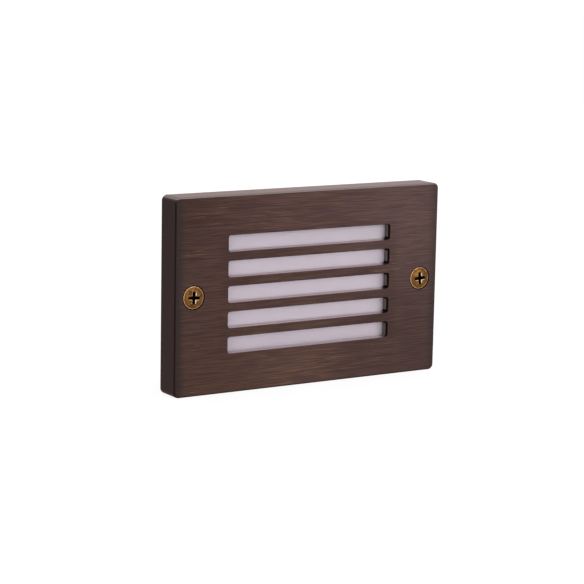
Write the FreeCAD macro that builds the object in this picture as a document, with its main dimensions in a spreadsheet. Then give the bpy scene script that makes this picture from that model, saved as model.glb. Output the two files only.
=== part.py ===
import FreeCAD, Part
import math
import os
import Sketcher

# Recessed step light: a slotted brass cover on a cast housing that holds the lamp and its driver.
#
# Millimetres. The origin is the centre of the cover's back rim, in the plane of the wall. +X points
# right as seen from the front, +Z up and -Y out of the wall. A level is a distance in front of the
# wall's plane, so whatever lies inside the wall has a negative level.

SIZES = [
    # the cover
    ("cover_width", 110.0, "cover, overall width"),
    ("cover_height", 70.0, "cover, overall height"),
    ("cover_depth", 10.0, "cover, depth from the wall to its face"),
    ("cover_corner", 2.0, "cover, radius of the four corners"),
    ("cover_edge", 0.6, "cover, rounding of the front edge"),
    ("cover_wall", 2.5, "cover, thickness of the side walls"),
    ("face_thickness", 3.3, "cover, thickness of the face and depth of the bars"),
    ("web_thickness", 1.2, "cover, thickness left in front of the lens gasket"),
    ("slot_inset", 21.2, "light slots, distance from their ends to the cover's ends"),
    ("window_inset", 14.1, "light slots, distance from the outer ones to the cover's top and bottom"),
    ("slot_height", 5.8, "light slot, height"),
    ("slot_count", 5, "light slots, how many"),
    ("slot_corner", 0.9, "light slot, corner radius"),
    ("slot_edge", 0.2, "light slot, rounding of its front edge"),
    # the two cover screws
    ("screw_inset", 7.4, "cover screws, distance from their axes to the cover's ends"),
    ("screw_radius", 2.0, "cover screw, radius of the thread"),
    ("screw_length", 14.0, "cover screw, length under the top of the head's rim"),
    ("head_radius", 3.95, "cover screw, radius of the head"),
    ("head_rim", 0.25, "cover screw, height of the head's edge"),
    ("head_cone", 1.95, "cover screw, height of the cone under the head"),
    ("head_dome", 0.7, "cover screw, height of the raised top"),
    ("head_drop", 0.1, "cover screw, depth of the head's rim under the face"),
    ("cross_reach", 2.4, "cross recess, reach of an arm from the axis"),
    ("cross_width", 1.15, "cross recess, width of an arm"),
    ("cross_depth", 2.1, "cross recess, depth"),
    ("cross_taper", 9.0, "cross recess, slope of its walls in degrees"),
    ("sink_gap", 0.4, "countersink, gap round the head"),
    ("screw_gap", 0.2, "hole for a screw, gap round the thread"),
    ("post_wall", 1.2, "post behind each cover screw, wall round the washer's seat"),
    ("retainer_width", 1.5, "washer that keeps a cover screw, width of the ring"),
    ("retainer_thickness", 0.8, "washer that keeps a cover screw, thickness"),
    # lens, its gasket and its frame
    ("gasket_lap", 2.4, "lens gasket, width of the ring"),
    ("lens_lap", 2.0, "lens, reach past the window"),
    ("lens_thickness", 2.5, "lens, thickness"),
    ("lens_corner", 1.5, "lens, corner radius"),
    ("fit_gap", 0.15, "gap round parts that drop into a seat"),
    ("frame_side", 3.6, "lens frame, width beside the lens"),
    ("frame_top", 2.5, "lens frame, width above and below the lens"),
    ("frame_plate", 1.5, "lens frame, thickness behind the lens"),
    ("frame_gap", 0.6, "lens frame, gap to the tub's walls"),
    ("frame_screw_rise", 15.0, "lens frame screws, height above and below the middle"),
    ("small_screw_radius", 1.0, "small screw, radius of the thread"),
    ("small_head_radius", 1.75, "small screw, radius of the head"),
    ("small_head_height", 1.2, "small screw, height of the head"),
    ("thread_gap", 0.03, "gap between a thread and its hole"),
    # housing
    ("wall_gasket_thickness", 1.0, "wall gasket, thickness"),
    ("flange_thickness", 2.0, "housing flange, thickness"),
    ("flange_gap", 0.7, "housing flange, gap to the cover's walls"),
    ("tub_depth", 26.0, "tub, depth behind the wall's plane"),
    ("tub_wall", 2.0, "tub, thickness of the walls"),
    ("tub_floor", 2.5, "tub, thickness of the back"),
    ("tub_corner", 6.0, "tub, corner radius outside"),
    ("tub_back_edge", 3.0, "tub, rounding of the back edge"),
    ("tub_lip", 2.0, "tub, reach of its lip in front of the flange"),
    ("wall_hole_radius", 2.2, "wall fixing hole, radius"),
    ("wall_hole_inset", 9.8, "wall fixing holes, distance to the flange's top and bottom"),
    ("insert_bore_gap", 0.05, "threaded insert, gap round the screw"),
    ("insert_wall", 0.85, "threaded insert, wall"),
    ("insert_boss_wall", 1.2, "boss round an insert, wall"),
    ("insert_boss_reach", 3.5, "boss round an insert, reach into the wall"),
    ("rib_height", 2.0, "cooling rib, height"),
    ("rib_width", 1.5, "cooling rib, thickness"),
    ("rib_inset", 9.0, "cooling rib, distance from its ends to the tub's sides"),
    ("rib_pitch", 4.5, "cooling ribs, distance from one to the next"),
    ("rib_start", 13.5, "cooling ribs, height of the first one from the middle"),
    # lamp
    ("led_board_level", 9.0, "lamp board, depth of its face in the wall"),
    ("board_thickness", 1.6, "boards, thickness"),
    ("led_board_gap", 1.5, "lamp board, gap to the tub's walls"),
    ("pad_thickness", 0.5, "thermal pad, thickness"),
    ("spreader_thickness", 2.0, "heat spreader, thickness"),
    ("pillar_inset", 3.0, "pillars under the lamp board, distance from its edges to their axes"),
    ("pillar_radius", 3.5, "pillar, radius"),
    ("board_screw_radius", 1.25, "lamp board screw, radius of the thread"),
    ("board_head_radius", 2.25, "lamp board screw, radius of the head"),
    ("board_head_height", 1.4, "lamp board screw, height of the head"),
    ("board_screw_reach", 6.0, "lamp board screw, reach into its pillar"),
    ("chip_width", 3.5, "light chip, width"),
    ("chip_height", 2.8, "light chip, height"),
    ("chip_thickness", 0.8, "light chip, thickness"),
    ("chip_inset", 6.25, "light chips, distance from the outer ones to the reflector's foot"),
    ("chip_rise", 13.0, "light chips, distance up"),
    ("chip_columns", 6, "light chips, how many in a row"),
    ("reflector_wall", 1.2, "reflector, wall thickness"),
    ("foot_inset", 6.25, "reflector, distance from its foot to the lamp board's edges"),
    ("reflector_gap", 0.8, "reflector, gap to the tub and to the lens frame"),
    # driver
    ("film_thickness", 0.4, "insulation film, thickness"),
    ("driver_gap", 1.8, "driver board, gap to the film"),
    ("driver_width", 60.0, "driver board, width"),
    ("driver_height", 46.0, "driver board, height"),
    ("driver_boss_span", 53.0, "bosses under the driver board, distance across"),
    ("driver_boss_rise", 39.0, "bosses under the driver board, distance up"),
    ("driver_boss_radius", 2.6, "boss under the driver board, radius"),
    ("driver_screw_reach", 4.0, "driver board screw, reach into its boss"),
    ("parts_row", 14.0, "driver parts, height of their rows from the middle"),
    ("coil_place", 5.0, "inductor, distance left of the middle"),
    ("coil_side", 8.0, "inductor, side"),
    ("coil_height", 4.5, "inductor, height"),
    ("core_radius", 2.7, "inductor, radius of the core's face"),
    ("core_groove", 0.7, "inductor, width and depth of the groove round the core"),
    ("can_radius", 3.0, "capacitor, radius of the can"),
    ("can_height", 5.4, "capacitor, height"),
    ("can_foot_side", 6.3, "capacitor, side of the foot"),
    ("can_foot", 1.1, "capacitor, height of the foot"),
    ("can_pitch", 9.0, "capacitors, distance between, and from the first to the middle"),
    ("small_chip_width", 5.6, "driver chip, width"),
    ("small_chip_height", 4.4, "driver chip, height"),
    ("small_chip_thickness", 1.6, "driver chip, thickness"),
    ("small_chip_place", 13.5, "driver chips, distance of the first one left of the middle"),
    ("small_chip_pitch", 9.0, "driver chips, distance from one to the next"),
    ("terminal_place", 3.0, "terminal block, distance right of the middle"),
    ("terminal_width", 9.0, "terminal block, width"),
    ("terminal_height", 9.0, "terminal block, height of its two poles"),
    ("terminal_depth", 5.8, "terminal block, depth"),
    ("pole_pitch", 4.4, "terminal poles, distance between"),
    ("port_radius", 1.2, "terminal port, radius"),
    ("port_drop", 2.4, "terminal port, distance from the board to its axis"),
    ("port_depth", 7.2, "terminal port, depth"),
    ("well_radius", 1.6, "well of a clamp screw, radius"),
    ("well_depth", 2.4, "well of a clamp screw, depth"),
    ("clamp_height", 1.9, "clamp screw, height"),
    ("clamp_slot", 0.4, "clamp screw, width and depth of the slot"),
    ("header_width", 9.0, "link between the boards, width"),
    ("header_height", 2.6, "link between the boards, height"),
    ("header_drop", 20.5, "link between the boards, distance under the middle"),
    ("pin_radius", 0.35, "link pin, radius"),
    ("pin_pitch", 2.54, "link pins, distance between"),
    # colour selector
    ("selector_place", 18.0, "selector, distance left of the middle"),
    ("selector_travel", 2.0, "selector, travel to each side of its middle"),
    ("stem_width", 2.0, "selector stem, width"),
    ("stem_height", 1.6, "selector stem, height"),
    ("slide_gap", 0.35, "selector, gap round the stem"),
    ("switch_width", 11.0, "switch body, width"),
    ("switch_height", 5.6, "switch body, height"),
    ("switch_depth", 4.5, "switch body, depth"),
    ("cap_width", 3.6, "selector cap, width"),
    ("cap_height", 3.4, "selector cap, height"),
    ("cap_thickness", 1.0, "selector cap, thickness"),
    ("cap_groove", 0.4, "selector cap, width of a groove"),
    ("cap_groove_depth", 0.35, "selector cap, depth of a groove"),
    ("cap_groove_pitch", 0.9, "selector cap, distance between grooves"),
    ("recess_depth", 1.2, "recess round the selector, depth"),
    ("recess_width", 17.0, "recess round the selector, width"),
    ("recess_height", 10.0, "recess round the selector, height"),
    # cable gland
    ("gland_place", 19.0, "gland, distance right of the middle"),
    ("cable_radius", 3.25, "gland seal, radius of the cable hole"),
    ("cable_gap", 0.25, "gland, gap round the cable hole behind the seal"),
    ("seal_wall", 1.3, "gland seal, wall"),
    ("seal_lead", 1.0, "gland seal, reach out of the gland's end"),
    ("gland_wall", 1.5, "gland, wall of the threaded tube"),
    ("gland_tail", 4.7, "gland, reach inside from the tub's outer back"),
    ("hex_wall", 1.7, "gland, reach of the hexagon past the collar"),
    ("hex_thickness", 4.0, "gland, thickness of the hexagon"),
    ("collar_wall", 1.25, "gland, wall round the seal"),
    ("collar_length", 6.0, "gland, length of the thread under the cap"),
    ("gland_washer_thickness", 1.0, "gland washer, thickness"),
    ("lock_nut_wall", 2.0, "gland lock nut, wall at its flats"),
    ("lock_nut_thickness", 2.2, "gland lock nut, thickness"),
    ("nut_wall", 1.8, "gland cap, wall"),
    ("nut_length", 9.6, "gland cap, length"),
    ("mouth_gap", 0.45, "gland cap, gap round the cable hole at the mouth"),
    ("grip_count", 12, "gland cap, number of grip grooves"),
    ("grip_radius", 0.9, "gland cap, radius of a grip groove"),
    ("grip_length", 5.3, "gland cap, length of a grip groove"),
]

CLEAR = 1.0  # how far a cut runs past the face where it comes out
AXIS_LINE = 1.0  # length of the line that marks an axis in a sketch
RIBS_EACH_SIDE = 3

# Shapes as shares of a size
PAN_TOP = 0.7  # flat top of a pan head, of its radius
PAN_CROSS = (0.6, 0.25, 0.5)  # reach, width and depth of a pan head's cross, of its radius
DOME = ((0.4, 0.86), (0.75, 0.46), (0.96, 0))  # raised screw head, of its radius and the dome's height
CAP_SHAPE = ((1, 0.6), (0.93, 0.78), (0.78, 0.92), (0.6, 1))  # gland cap, of its radius and length


class Size:
    """A length that carries the formula which ties it to the sheet of sizes."""

    def __init__(self, value, formula):
        self.value = value
        self.formula = formula

    def __add__(self, other):
        other = as_size(other)
        return Size(self.value + other.value, f"({self.formula} + {other.formula})")

    def __sub__(self, other):
        other = as_size(other)
        return Size(self.value - other.value, f"({self.formula} - {other.formula})")

    def __mul__(self, other):
        other = as_size(other)
        return Size(self.value * other.value, f"{self.formula} * {other.formula}")

    def __truediv__(self, other):
        other = as_size(other)
        return Size(self.value / other.value, f"{self.formula} / ({other.formula})")

    def __neg__(self):
        return self * -1

    def __radd__(self, other):
        return as_size(other) + self

    def __rsub__(self, other):
        return as_size(other) - self

    def __rmul__(self, other):
        return as_size(other) * self


def as_size(number):
    """The number itself if it is a size, or a size with a constant formula."""
    return number if isinstance(number, Size) else Size(number, f"({number})")


class Sheet:
    """The driving sizes as attributes, each bound to its cell in the sheet."""

    def __init__(self, document, rows):
        sheet = document.addObject("Spreadsheet::Sheet", "Sizes")
        for row, (name, value, meaning) in enumerate(rows, start=1):
            sheet.set(f"A{row}", meaning)
            sheet.set(f"B{row}", str(value))
            sheet.setAlias(f"B{row}", name)
            setattr(self, name, Size(value, f"Sizes.{name}"))
        document.recompute()


doc = FreeCAD.newDocument("step_light")
mm = Sheet(doc, SIZES)
BODIES = []

# levels that several parts share
FACE = mm.cover_depth
FACE_BACK = FACE - mm.face_thickness
GASKET_FRONT = FACE - mm.web_thickness
LENS_BACK = FACE_BACK - mm.lens_thickness
FRAME_BACK = LENS_BACK - mm.frame_plate
FLANGE_BACK = mm.wall_gasket_thickness
FLANGE_FRONT = FLANGE_BACK + mm.flange_thickness
LIP = FLANGE_FRONT + mm.tub_lip
LED_FRONT = -mm.led_board_level
LED_BACK = LED_FRONT - mm.board_thickness
SPREADER_FRONT = LED_BACK - mm.pad_thickness
SPREADER_BACK = SPREADER_FRONT - mm.spreader_thickness
FILM_BACK = SPREADER_BACK - mm.film_thickness
DRIVER_FRONT = FILM_BACK - mm.driver_gap
DRIVER_BACK = DRIVER_FRONT - mm.board_thickness
TUB_BACK = -mm.tub_depth
TUB_INSIDE = TUB_BACK + mm.tub_floor

GLAND_HEX_FRONT = TUB_BACK - mm.gland_washer_thickness
GLAND_HEX_BACK = GLAND_HEX_FRONT - mm.hex_thickness
GLAND_END = GLAND_HEX_BACK - mm.collar_length

# outlines that several parts share
SLOT_LENGTH = mm.cover_width - 2 * mm.slot_inset
WINDOW_HEIGHT = mm.cover_height - 2 * mm.window_inset
SLOT_PITCH = (WINDOW_HEIGHT - mm.slot_height) / (mm.slot_count - 1)
LENS_WIDTH = SLOT_LENGTH + 2 * mm.lens_lap
LENS_HEIGHT = WINDOW_HEIGHT + 2 * mm.lens_lap
FRAME_WIDTH = LENS_WIDTH + 2 * mm.frame_side
FRAME_HEIGHT = LENS_HEIGHT + 2 * mm.frame_top
TUB_INNER_WIDTH = FRAME_WIDTH + 2 * mm.frame_gap
TUB_INNER_HEIGHT = FRAME_HEIGHT + 2 * mm.frame_gap
TUB_INNER_CORNER = mm.tub_corner - mm.tub_wall
TUB_WIDTH = TUB_INNER_WIDTH + 2 * mm.tub_wall
TUB_HEIGHT = TUB_INNER_HEIGHT + 2 * mm.tub_wall
FLANGE_WIDTH = mm.cover_width - 2 * mm.cover_wall - 2 * mm.flange_gap
FLANGE_HEIGHT = mm.cover_height - 2 * mm.cover_wall - 2 * mm.flange_gap
LED_BOARD_WIDTH = TUB_INNER_WIDTH - 2 * mm.led_board_gap
LED_BOARD_HEIGHT = TUB_INNER_HEIGHT - 2 * mm.led_board_gap
FOOT_WIDTH = LED_BOARD_WIDTH - 2 * mm.foot_inset
FOOT_HEIGHT = LED_BOARD_HEIGHT - 2 * mm.foot_inset

# distances between pairs of screws, holes and chips
SCREW_SPAN = mm.cover_width - 2 * mm.screw_inset
FRAME_SCREW_SPAN = (LENS_WIDTH + FRAME_WIDTH) / 2
FRAME_SCREW_RISE = 2 * mm.frame_screw_rise
WALL_HOLE_SPAN = (TUB_WIDTH + FLANGE_WIDTH) / 2
WALL_HOLE_RISE = FLANGE_HEIGHT - 2 * mm.wall_hole_inset
PILLAR_SPAN = LED_BOARD_WIDTH - 2 * mm.pillar_inset
PILLAR_RISE = LED_BOARD_HEIGHT - 2 * mm.pillar_inset
CHIP_PITCH = (FOOT_WIDTH - 2 * mm.chip_inset) / (mm.chip_columns - 1)

# radii that several parts share
RETAINER_RADIUS = mm.screw_radius + mm.retainer_width
POST_RADIUS = RETAINER_RADIUS + mm.sink_gap + mm.post_wall
INSERT_BORE = mm.screw_radius + mm.insert_bore_gap
INSERT_RADIUS = INSERT_BORE + mm.insert_wall
INSERT_BOSS_RADIUS = INSERT_RADIUS + mm.insert_boss_wall
GLAND_BORE = mm.cable_radius + mm.cable_gap
GLAND_THREAD = GLAND_BORE + mm.gland_wall
GLAND_COLLAR = mm.cable_radius + mm.seal_wall + mm.collar_wall
GLAND_FLATS = 2 * (GLAND_COLLAR + mm.hex_wall)


# --- drawing in a sketch ---------------------------------------------------------------------------


def plain(size):
    """The number behind a size."""
    return size.value if isinstance(size, Size) else size


def hold(sketch, kind, places, size):
    """Add one constraint and tie its value to the sheet."""
    number = sketch.addConstraint(Sketcher.Constraint(kind, *places, plain(size)))
    if isinstance(size, Size):
        sketch.setExpression(f"Constraints[{number}]", size.formula)


def hold_point(sketch, element, point, x=None, z=None):
    """Hold a point of the sketch at x and z from its origin. Nought puts it on the axis."""
    for kind, axis, size in (("DistanceX", -2, x), ("DistanceY", -1, z)):
        if isinstance(size, Size):
            hold(sketch, kind, (-1, 1, element, point), size)
        elif size == 0:
            sketch.addConstraint(Sketcher.Constraint("PointOnObject", element, point, axis))


def box(width, height, corner, x=0, z=0):
    """Outline of a rectangle with round corners whose middle is at (x, z)."""
    left, right = x - width / 2, x + width / 2
    bottom, top = z - height / 2, z + height / 2

    def draw(sketch):
        west, east, south, north = plain(left), plain(right), plain(bottom), plain(top)
        r = plain(corner)
        sides = [
            ((west + r, south), (east - r, south)),
            ((east, south + r), (east, north - r)),
            ((east - r, north), (west + r, north)),
            ((west, north - r), (west, south + r)),
        ]
        inner = (west + r, east - r, south + r, north - r)
        centres = [(inner[1], inner[2]), (inner[1], inner[3]), (inner[0], inner[3]), (inner[0], inner[2])]
        lines = []
        arcs = []
        for start, end in sides:
            edge = Part.LineSegment(FreeCAD.Vector(*start, 0), FreeCAD.Vector(*end, 0))
            lines.append(sketch.addGeometry(edge))
        for quarter, centre in enumerate(centres):
            circle = Part.Circle(FreeCAD.Vector(*centre, 0), FreeCAD.Vector(0, 0, 1), r)
            start = math.radians(90 * (quarter - 1))
            end = math.radians(90 * quarter)
            arcs.append(sketch.addGeometry(Part.ArcOfCircle(circle, start, end)))
        for number in range(4):
            following = lines[(number + 1) % 4]
            sketch.addConstraint(Sketcher.Constraint("Tangent", lines[number], 2, arcs[number], 1))
            sketch.addConstraint(Sketcher.Constraint("Tangent", arcs[number], 2, following, 1))
            direction = "Horizontal" if number % 2 == 0 else "Vertical"
            sketch.addConstraint(Sketcher.Constraint(direction, lines[number]))
        for arc in arcs[1:]:
            sketch.addConstraint(Sketcher.Constraint("Equal", arcs[0], arc))
        hold(sketch, "Radius", (arcs[0],), corner)
        hold_point(sketch, lines[0], 1, z=as_size(bottom))
        hold_point(sketch, lines[1], 1, x=as_size(right))
        hold_point(sketch, lines[2], 1, z=as_size(top))
        hold_point(sketch, lines[3], 1, x=as_size(left))

    return draw


def disc(radius, x=0, z=0):
    """Outline of a circle at (x, z)."""

    def draw(sketch):
        centre = FreeCAD.Vector(plain(x), plain(z), 0)
        circle = sketch.addGeometry(Part.Circle(centre, FreeCAD.Vector(0, 0, 1), plain(radius)))
        hold(sketch, "Radius", (circle,), radius)
        hold_point(sketch, circle, 3, x, z)

    return draw


def polygon(points):
    """Outline with straight sides through the points, each held at its own x and z."""

    def draw(sketch):
        lines = []
        for here, there in zip(points, points[1:] + points[:1]):
            start = FreeCAD.Vector(plain(here[0]), plain(here[1]), 0)
            end = FreeCAD.Vector(plain(there[0]), plain(there[1]), 0)
            lines.append(sketch.addGeometry(Part.LineSegment(start, end)))
        for number, line in enumerate(lines):
            following = lines[(number + 1) % len(lines)]
            sketch.addConstraint(Sketcher.Constraint("Coincident", line, 2, following, 1))
            hold_point(sketch, line, 1, *points[number])

    return draw


def hexagon(flats, x=0):
    """Outline of a hexagon with two level sides, given its width across flats."""
    half = flats / 2
    corner = flats / math.sqrt(3)
    quarter = corner / 2
    return polygon(
        [
            (x - corner, 0),
            (x - quarter, -half),
            (x + quarter, -half),
            (x + corner, 0),
            (x + quarter, half),
            (x - quarter, half),
        ]
    )


def two_discs(radius, span):
    """Two circles left and right of the middle."""
    return [disc(radius, side * span / 2) for side in (-1, 1)]


def four_discs(radius, span, rise):
    """Four circles at the corners of a rectangle about the middle."""
    return [disc(radius, side * span / 2, step * rise / 2) for side in (-1, 1) for step in (-1, 1)]


# --- features of a body ----------------------------------------------------------------------------


def new_body(name):
    """An empty body whose label names its part."""
    body = doc.addObject("PartDesign::Body", name)
    body.Label = name
    BODIES.append(body)
    return body


def datum(body, role):
    """One of the planes or axes of the body's own origin."""
    return next(item for item in body.Origin.OriginFeatures if item.Role == role)


def sketch_on(body, name, role, outlines, offset=0):
    """A sketch on a plane of the body's origin, moved along the plane's normal."""
    sketch = body.newObject("Sketcher::SketchObject", name)
    sketch.AttachmentSupport = [(datum(body, role), "")]
    sketch.MapMode = "FlatFace"
    sketch.setExpression("AttachmentOffset.Base.z", as_size(offset).formula)
    for draw in outlines:
        draw(sketch)
    return sketch


def add_slab(body, name, back, front, *outlines):
    """Material between two levels, with the outlines' shape."""
    sketch = sketch_on(body, name + "_outline", "XZ_Plane", outlines, back)
    pad = body.newObject("PartDesign::Pad", name)
    pad.Profile = sketch
    pad.setExpression("Length", (front - back).formula)
    return pad


def cut_slab(body, name, back, front, *outlines):
    """A cut between two levels, with the outlines' shape."""
    sketch = sketch_on(body, name + "_outline", "XZ_Plane", outlines, front)
    pocket = body.newObject("PartDesign::Pocket", name)
    pocket.Profile = sketch
    pocket.setExpression("Length", (front - back).formula)
    return pocket


def profile_at(points, x):
    """Outline through points given as (distance from the axis, level), for an axis at x."""
    return polygon([(x + radius, -level) for radius, level in points])


def turned(body, name, kind, points, x=0):
    """A revolved feature about an axis square to the wall at x."""
    sketch = sketch_on(body, name + "_profile", "XY_Plane", [profile_at(points, x)])
    feature = body.newObject(kind, name)
    feature.Profile = sketch
    feature.Angle = 360
    if x:
        foot = FreeCAD.Vector(plain(x), 0, 0)
        line = sketch.addGeometry(Part.LineSegment(foot, foot + FreeCAD.Vector(0, AXIS_LINE, 0)), True)
        sketch.addConstraint(Sketcher.Constraint("Vertical", line))
        hold(sketch, "DistanceY", (line, 1, line, 2), AXIS_LINE)
        hold_point(sketch, line, 1, x, 0)
        feature.ReferenceAxis = (sketch, ["Axis0"])
    else:
        feature.ReferenceAxis = (datum(body, "Y_Axis"), [""])
    return feature


def add_turned(body, name, points, x=0):
    """Turned material."""
    return turned(body, name, "PartDesign::Revolution", points, x)


def cut_turned(body, name, points, x=0):
    """A turned cut."""
    return turned(body, name, "PartDesign::Groove", points, x)


def repeat(body, name, features, across=None, up=None):
    """Copies of features in a row, or in rows and columns. Each way is (distance, count)."""
    pattern = body.newObject("PartDesign::LinearPattern", name)
    pattern.Originals = features
    ways = [("", "X_Axis", across), ("2", "Z_Axis", up)]
    if across is None:
        ways = [("", "Z_Axis", up)]
    for suffix, axis, way in ways:
        if way is None:
            continue
        distance, count = way
        setattr(pattern, "Direction" + suffix, (datum(body, axis), [""]))
        pattern.setExpression("Length" + suffix, (distance * (count - 1)).formula)
        pattern.setExpression("Occurrences" + suffix, as_size(count).formula)
    body.Tip = pattern
    return pattern


def mirror(body, name, features, role="YZ_Plane"):
    """Copies of features on the other side of a plane."""
    mirrored = body.newObject("PartDesign::Mirrored", name)
    mirrored.Originals = features
    mirrored.MirrorPlane = (datum(body, role), [""])
    body.Tip = mirrored
    return mirrored


def edges_at(feature, level, inside=None):
    """Names of the edges that lie in one level. inside picks those within a half width and height."""
    names = []
    for number, edge in enumerate(feature.Shape.Edges, start=1):
        bounds = edge.BoundBox
        if abs(bounds.YMin + plain(level)) > 0.001 or abs(bounds.YMax + plain(level)) > 0.001:
            continue
        if inside and (abs(edge.CenterOfMass.x) > inside[0] or abs(edge.CenterOfMass.z) > inside[1]):
            continue
        names.append(f"Edge{number}")
    return names


def round_edges(body, name, feature, edge_names, radius):
    """A fillet on the named edges of the body's last feature."""
    fillet = body.newObject("PartDesign::Fillet", name)
    fillet.Base = (feature, edge_names)
    fillet.setExpression("Radius", radius.formula)
    return fillet


def move(body, x=None, z=None):
    """Place a body that is modelled about its own axis."""
    for axis, distance in (("x", x), ("z", z)):
        if distance is not None:
            body.setExpression(f"Placement.Base.{axis}", distance.formula)


# --- cover -----------------------------------------------------------------------------------------


def make_cover_plate():
    """Hollow brass plate with light slots, two countersunk holes and a seat for the lens gasket."""
    body = new_body("cover_plate")
    outline = box(mm.cover_width, mm.cover_height, mm.cover_corner)
    block = add_slab(body, "block", as_size(0), FACE, outline)
    doc.recompute()
    round_edges(body, "front_edge", block, edges_at(block, FACE), mm.cover_edge)

    inner_width = mm.cover_width - 2 * mm.cover_wall
    inner_height = mm.cover_height - 2 * mm.cover_wall
    cut_slab(body, "hollow", as_size(0), FACE_BACK, box(inner_width, inner_height, mm.cover_corner))
    add_slab(body, "posts", FLANGE_FRONT, FACE_BACK, *two_discs(POST_RADIUS, SCREW_SPAN))

    seat = box(SLOT_LENGTH + 2 * mm.gasket_lap, WINDOW_HEIGHT + 2 * mm.gasket_lap, mm.gasket_lap)
    window = box(SLOT_LENGTH, WINDOW_HEIGHT, mm.slot_corner)
    cut_slab(body, "gasket_seat", FACE_BACK, GASKET_FRONT, seat, window)

    lowest = (mm.slot_height - WINDOW_HEIGHT) / 2
    slot_outline = box(SLOT_LENGTH, mm.slot_height, mm.slot_corner, z=lowest)
    slot = cut_slab(body, "slot", FACE_BACK, FACE, slot_outline)
    slots = repeat(body, "slots", [slot], up=(SLOT_PITCH, mm.slot_count))
    doc.recompute()
    slot_field = (plain(SLOT_LENGTH) / 2 + CLEAR, plain(WINDOW_HEIGHT) / 2 + CLEAR)
    round_edges(body, "slot_edges", slots, edges_at(slots, FACE, slot_field), mm.slot_edge)

    screw_hole = cut_turned(body, "screw_hole", screw_hole_profile(), x=-SCREW_SPAN / 2)
    mirror(body, "screw_holes", [screw_hole])
    thread = mm.small_screw_radius + mm.thread_gap
    threads = four_discs(thread, FRAME_SCREW_SPAN, FRAME_SCREW_RISE)
    cut_slab(body, "frame_screw_threads", FACE_BACK - CLEAR, GASKET_FRONT, *threads)


def screw_hole_profile():
    """Half section of the countersink, the hole and the seat of the washer that keeps the screw."""
    rim = mm.head_radius + mm.sink_gap
    rim_level = FACE - mm.head_drop - mm.head_rim
    hole = mm.screw_radius + mm.screw_gap
    keeper = RETAINER_RADIUS + mm.sink_gap
    keeper_level = FLANGE_FRONT + mm.retainer_thickness + 2 * mm.head_drop
    return [
        (0, FACE + CLEAR),
        (rim, FACE + CLEAR),
        (rim, rim_level),
        (hole, rim_level - mm.head_cone),
        (hole, keeper_level),
        (keeper, keeper_level),
        (keeper, FLANGE_FRONT - CLEAR),
        (0, FLANGE_FRONT - CLEAR),
    ]


def make_lens_gasket():
    """Silicone ring in the cover's seat. Its inner sides line up with the ends of the slots."""
    body = new_body("lens_gasket")
    width = 2 * (mm.gasket_lap - mm.thread_gap)
    outer = box(SLOT_LENGTH + width, WINDOW_HEIGHT + width, mm.gasket_lap)
    inner = box(SLOT_LENGTH, WINDOW_HEIGHT, mm.slot_corner)
    add_slab(body, "ring", FACE_BACK, GASKET_FRONT, outer, inner)


def make_lens():
    """Opal sheet behind the slots."""
    body = new_body("lens")
    sheet = add_slab(body, "sheet", LENS_BACK, FACE_BACK, box(LENS_WIDTH, LENS_HEIGHT, mm.lens_corner))
    doc.recompute()
    round_edges(body, "back_edge", sheet, edges_at(sheet, LENS_BACK), mm.slot_edge)


def make_lens_frame():
    """Frame that presses the lens on its gasket, with a seat for the lens and four screw holes."""
    body = new_body("lens_frame")
    outline = box(FRAME_WIDTH, FRAME_HEIGHT, TUB_INNER_CORNER - mm.frame_gap)
    add_slab(body, "block", FRAME_BACK, FACE_BACK, outline)
    seat = box(LENS_WIDTH + 2 * mm.fit_gap, LENS_HEIGHT + 2 * mm.fit_gap, mm.lens_corner)
    cut_slab(body, "lens_seat", LENS_BACK, FACE_BACK, seat)
    cut_slab(body, "window", FRAME_BACK, LENS_BACK, box(SLOT_LENGTH, WINDOW_HEIGHT, mm.slot_corner))
    hole = mm.small_screw_radius + mm.screw_gap / 2
    holes = four_discs(hole, FRAME_SCREW_SPAN, FRAME_SCREW_RISE)
    cut_slab(body, "screw_holes", FRAME_BACK, FACE_BACK, *holes)


def pan_screw_profile(seat, tip, head_radius, head_height, thread_radius, facing):
    """Half section of a pan head screw. facing is 1 where the head looks out of the wall."""
    rim = facing * head_height / 2
    crown = facing * head_height
    return [
        (0, seat + crown),
        (head_radius * PAN_TOP, seat + crown),
        (head_radius, seat + rim),
        (head_radius, seat),
        (thread_radius, seat),
        (thread_radius, tip + facing * thread_radius / 2),
        (thread_radius / 2, tip),
        (0, tip),
    ]


def make_pan_screws(name, profile, crown, head_radius, facing, span, rise):
    """Four pan head screws with cross recesses, at the corners of a rectangle."""
    body = new_body(name)
    screw = add_turned(body, "screw", profile)
    reach, width, depth = (head_radius * share for share in PAN_CROSS)
    cross = polygon(cross_points(reach, width / 2))
    back, front = (crown - depth, crown) if facing > 0 else (crown, crown + depth)
    recess = cut_slab(body, "recess", back, front, cross)
    repeat(body, "screws", [screw, recess], across=(span, 2), up=(rise, 2))
    move(body, -span / 2, -rise / 2)


def cross_points(reach, half):
    """Corners of a plus sign with arms of half the width given."""
    return [
        (-reach, -half),
        (-half, -half),
        (-half, -reach),
        (half, -reach),
        (half, -half),
        (reach, -half),
        (reach, half),
        (half, half),
        (half, reach),
        (-half, reach),
        (-half, half),
        (-reach, half),
    ]


def make_lens_frame_screws():
    """Four small screws through the frame into the back of the cover's face."""
    tip = GASKET_FRONT - mm.thread_gap
    head = mm.small_head_radius
    profile = pan_screw_profile(FRAME_BACK, tip, head, mm.small_head_height, mm.small_screw_radius, -1)
    crown = FRAME_BACK - mm.small_head_height
    make_pan_screws("lens_frame_screws", profile, crown, head, -1, FRAME_SCREW_SPAN, FRAME_SCREW_RISE)


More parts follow.
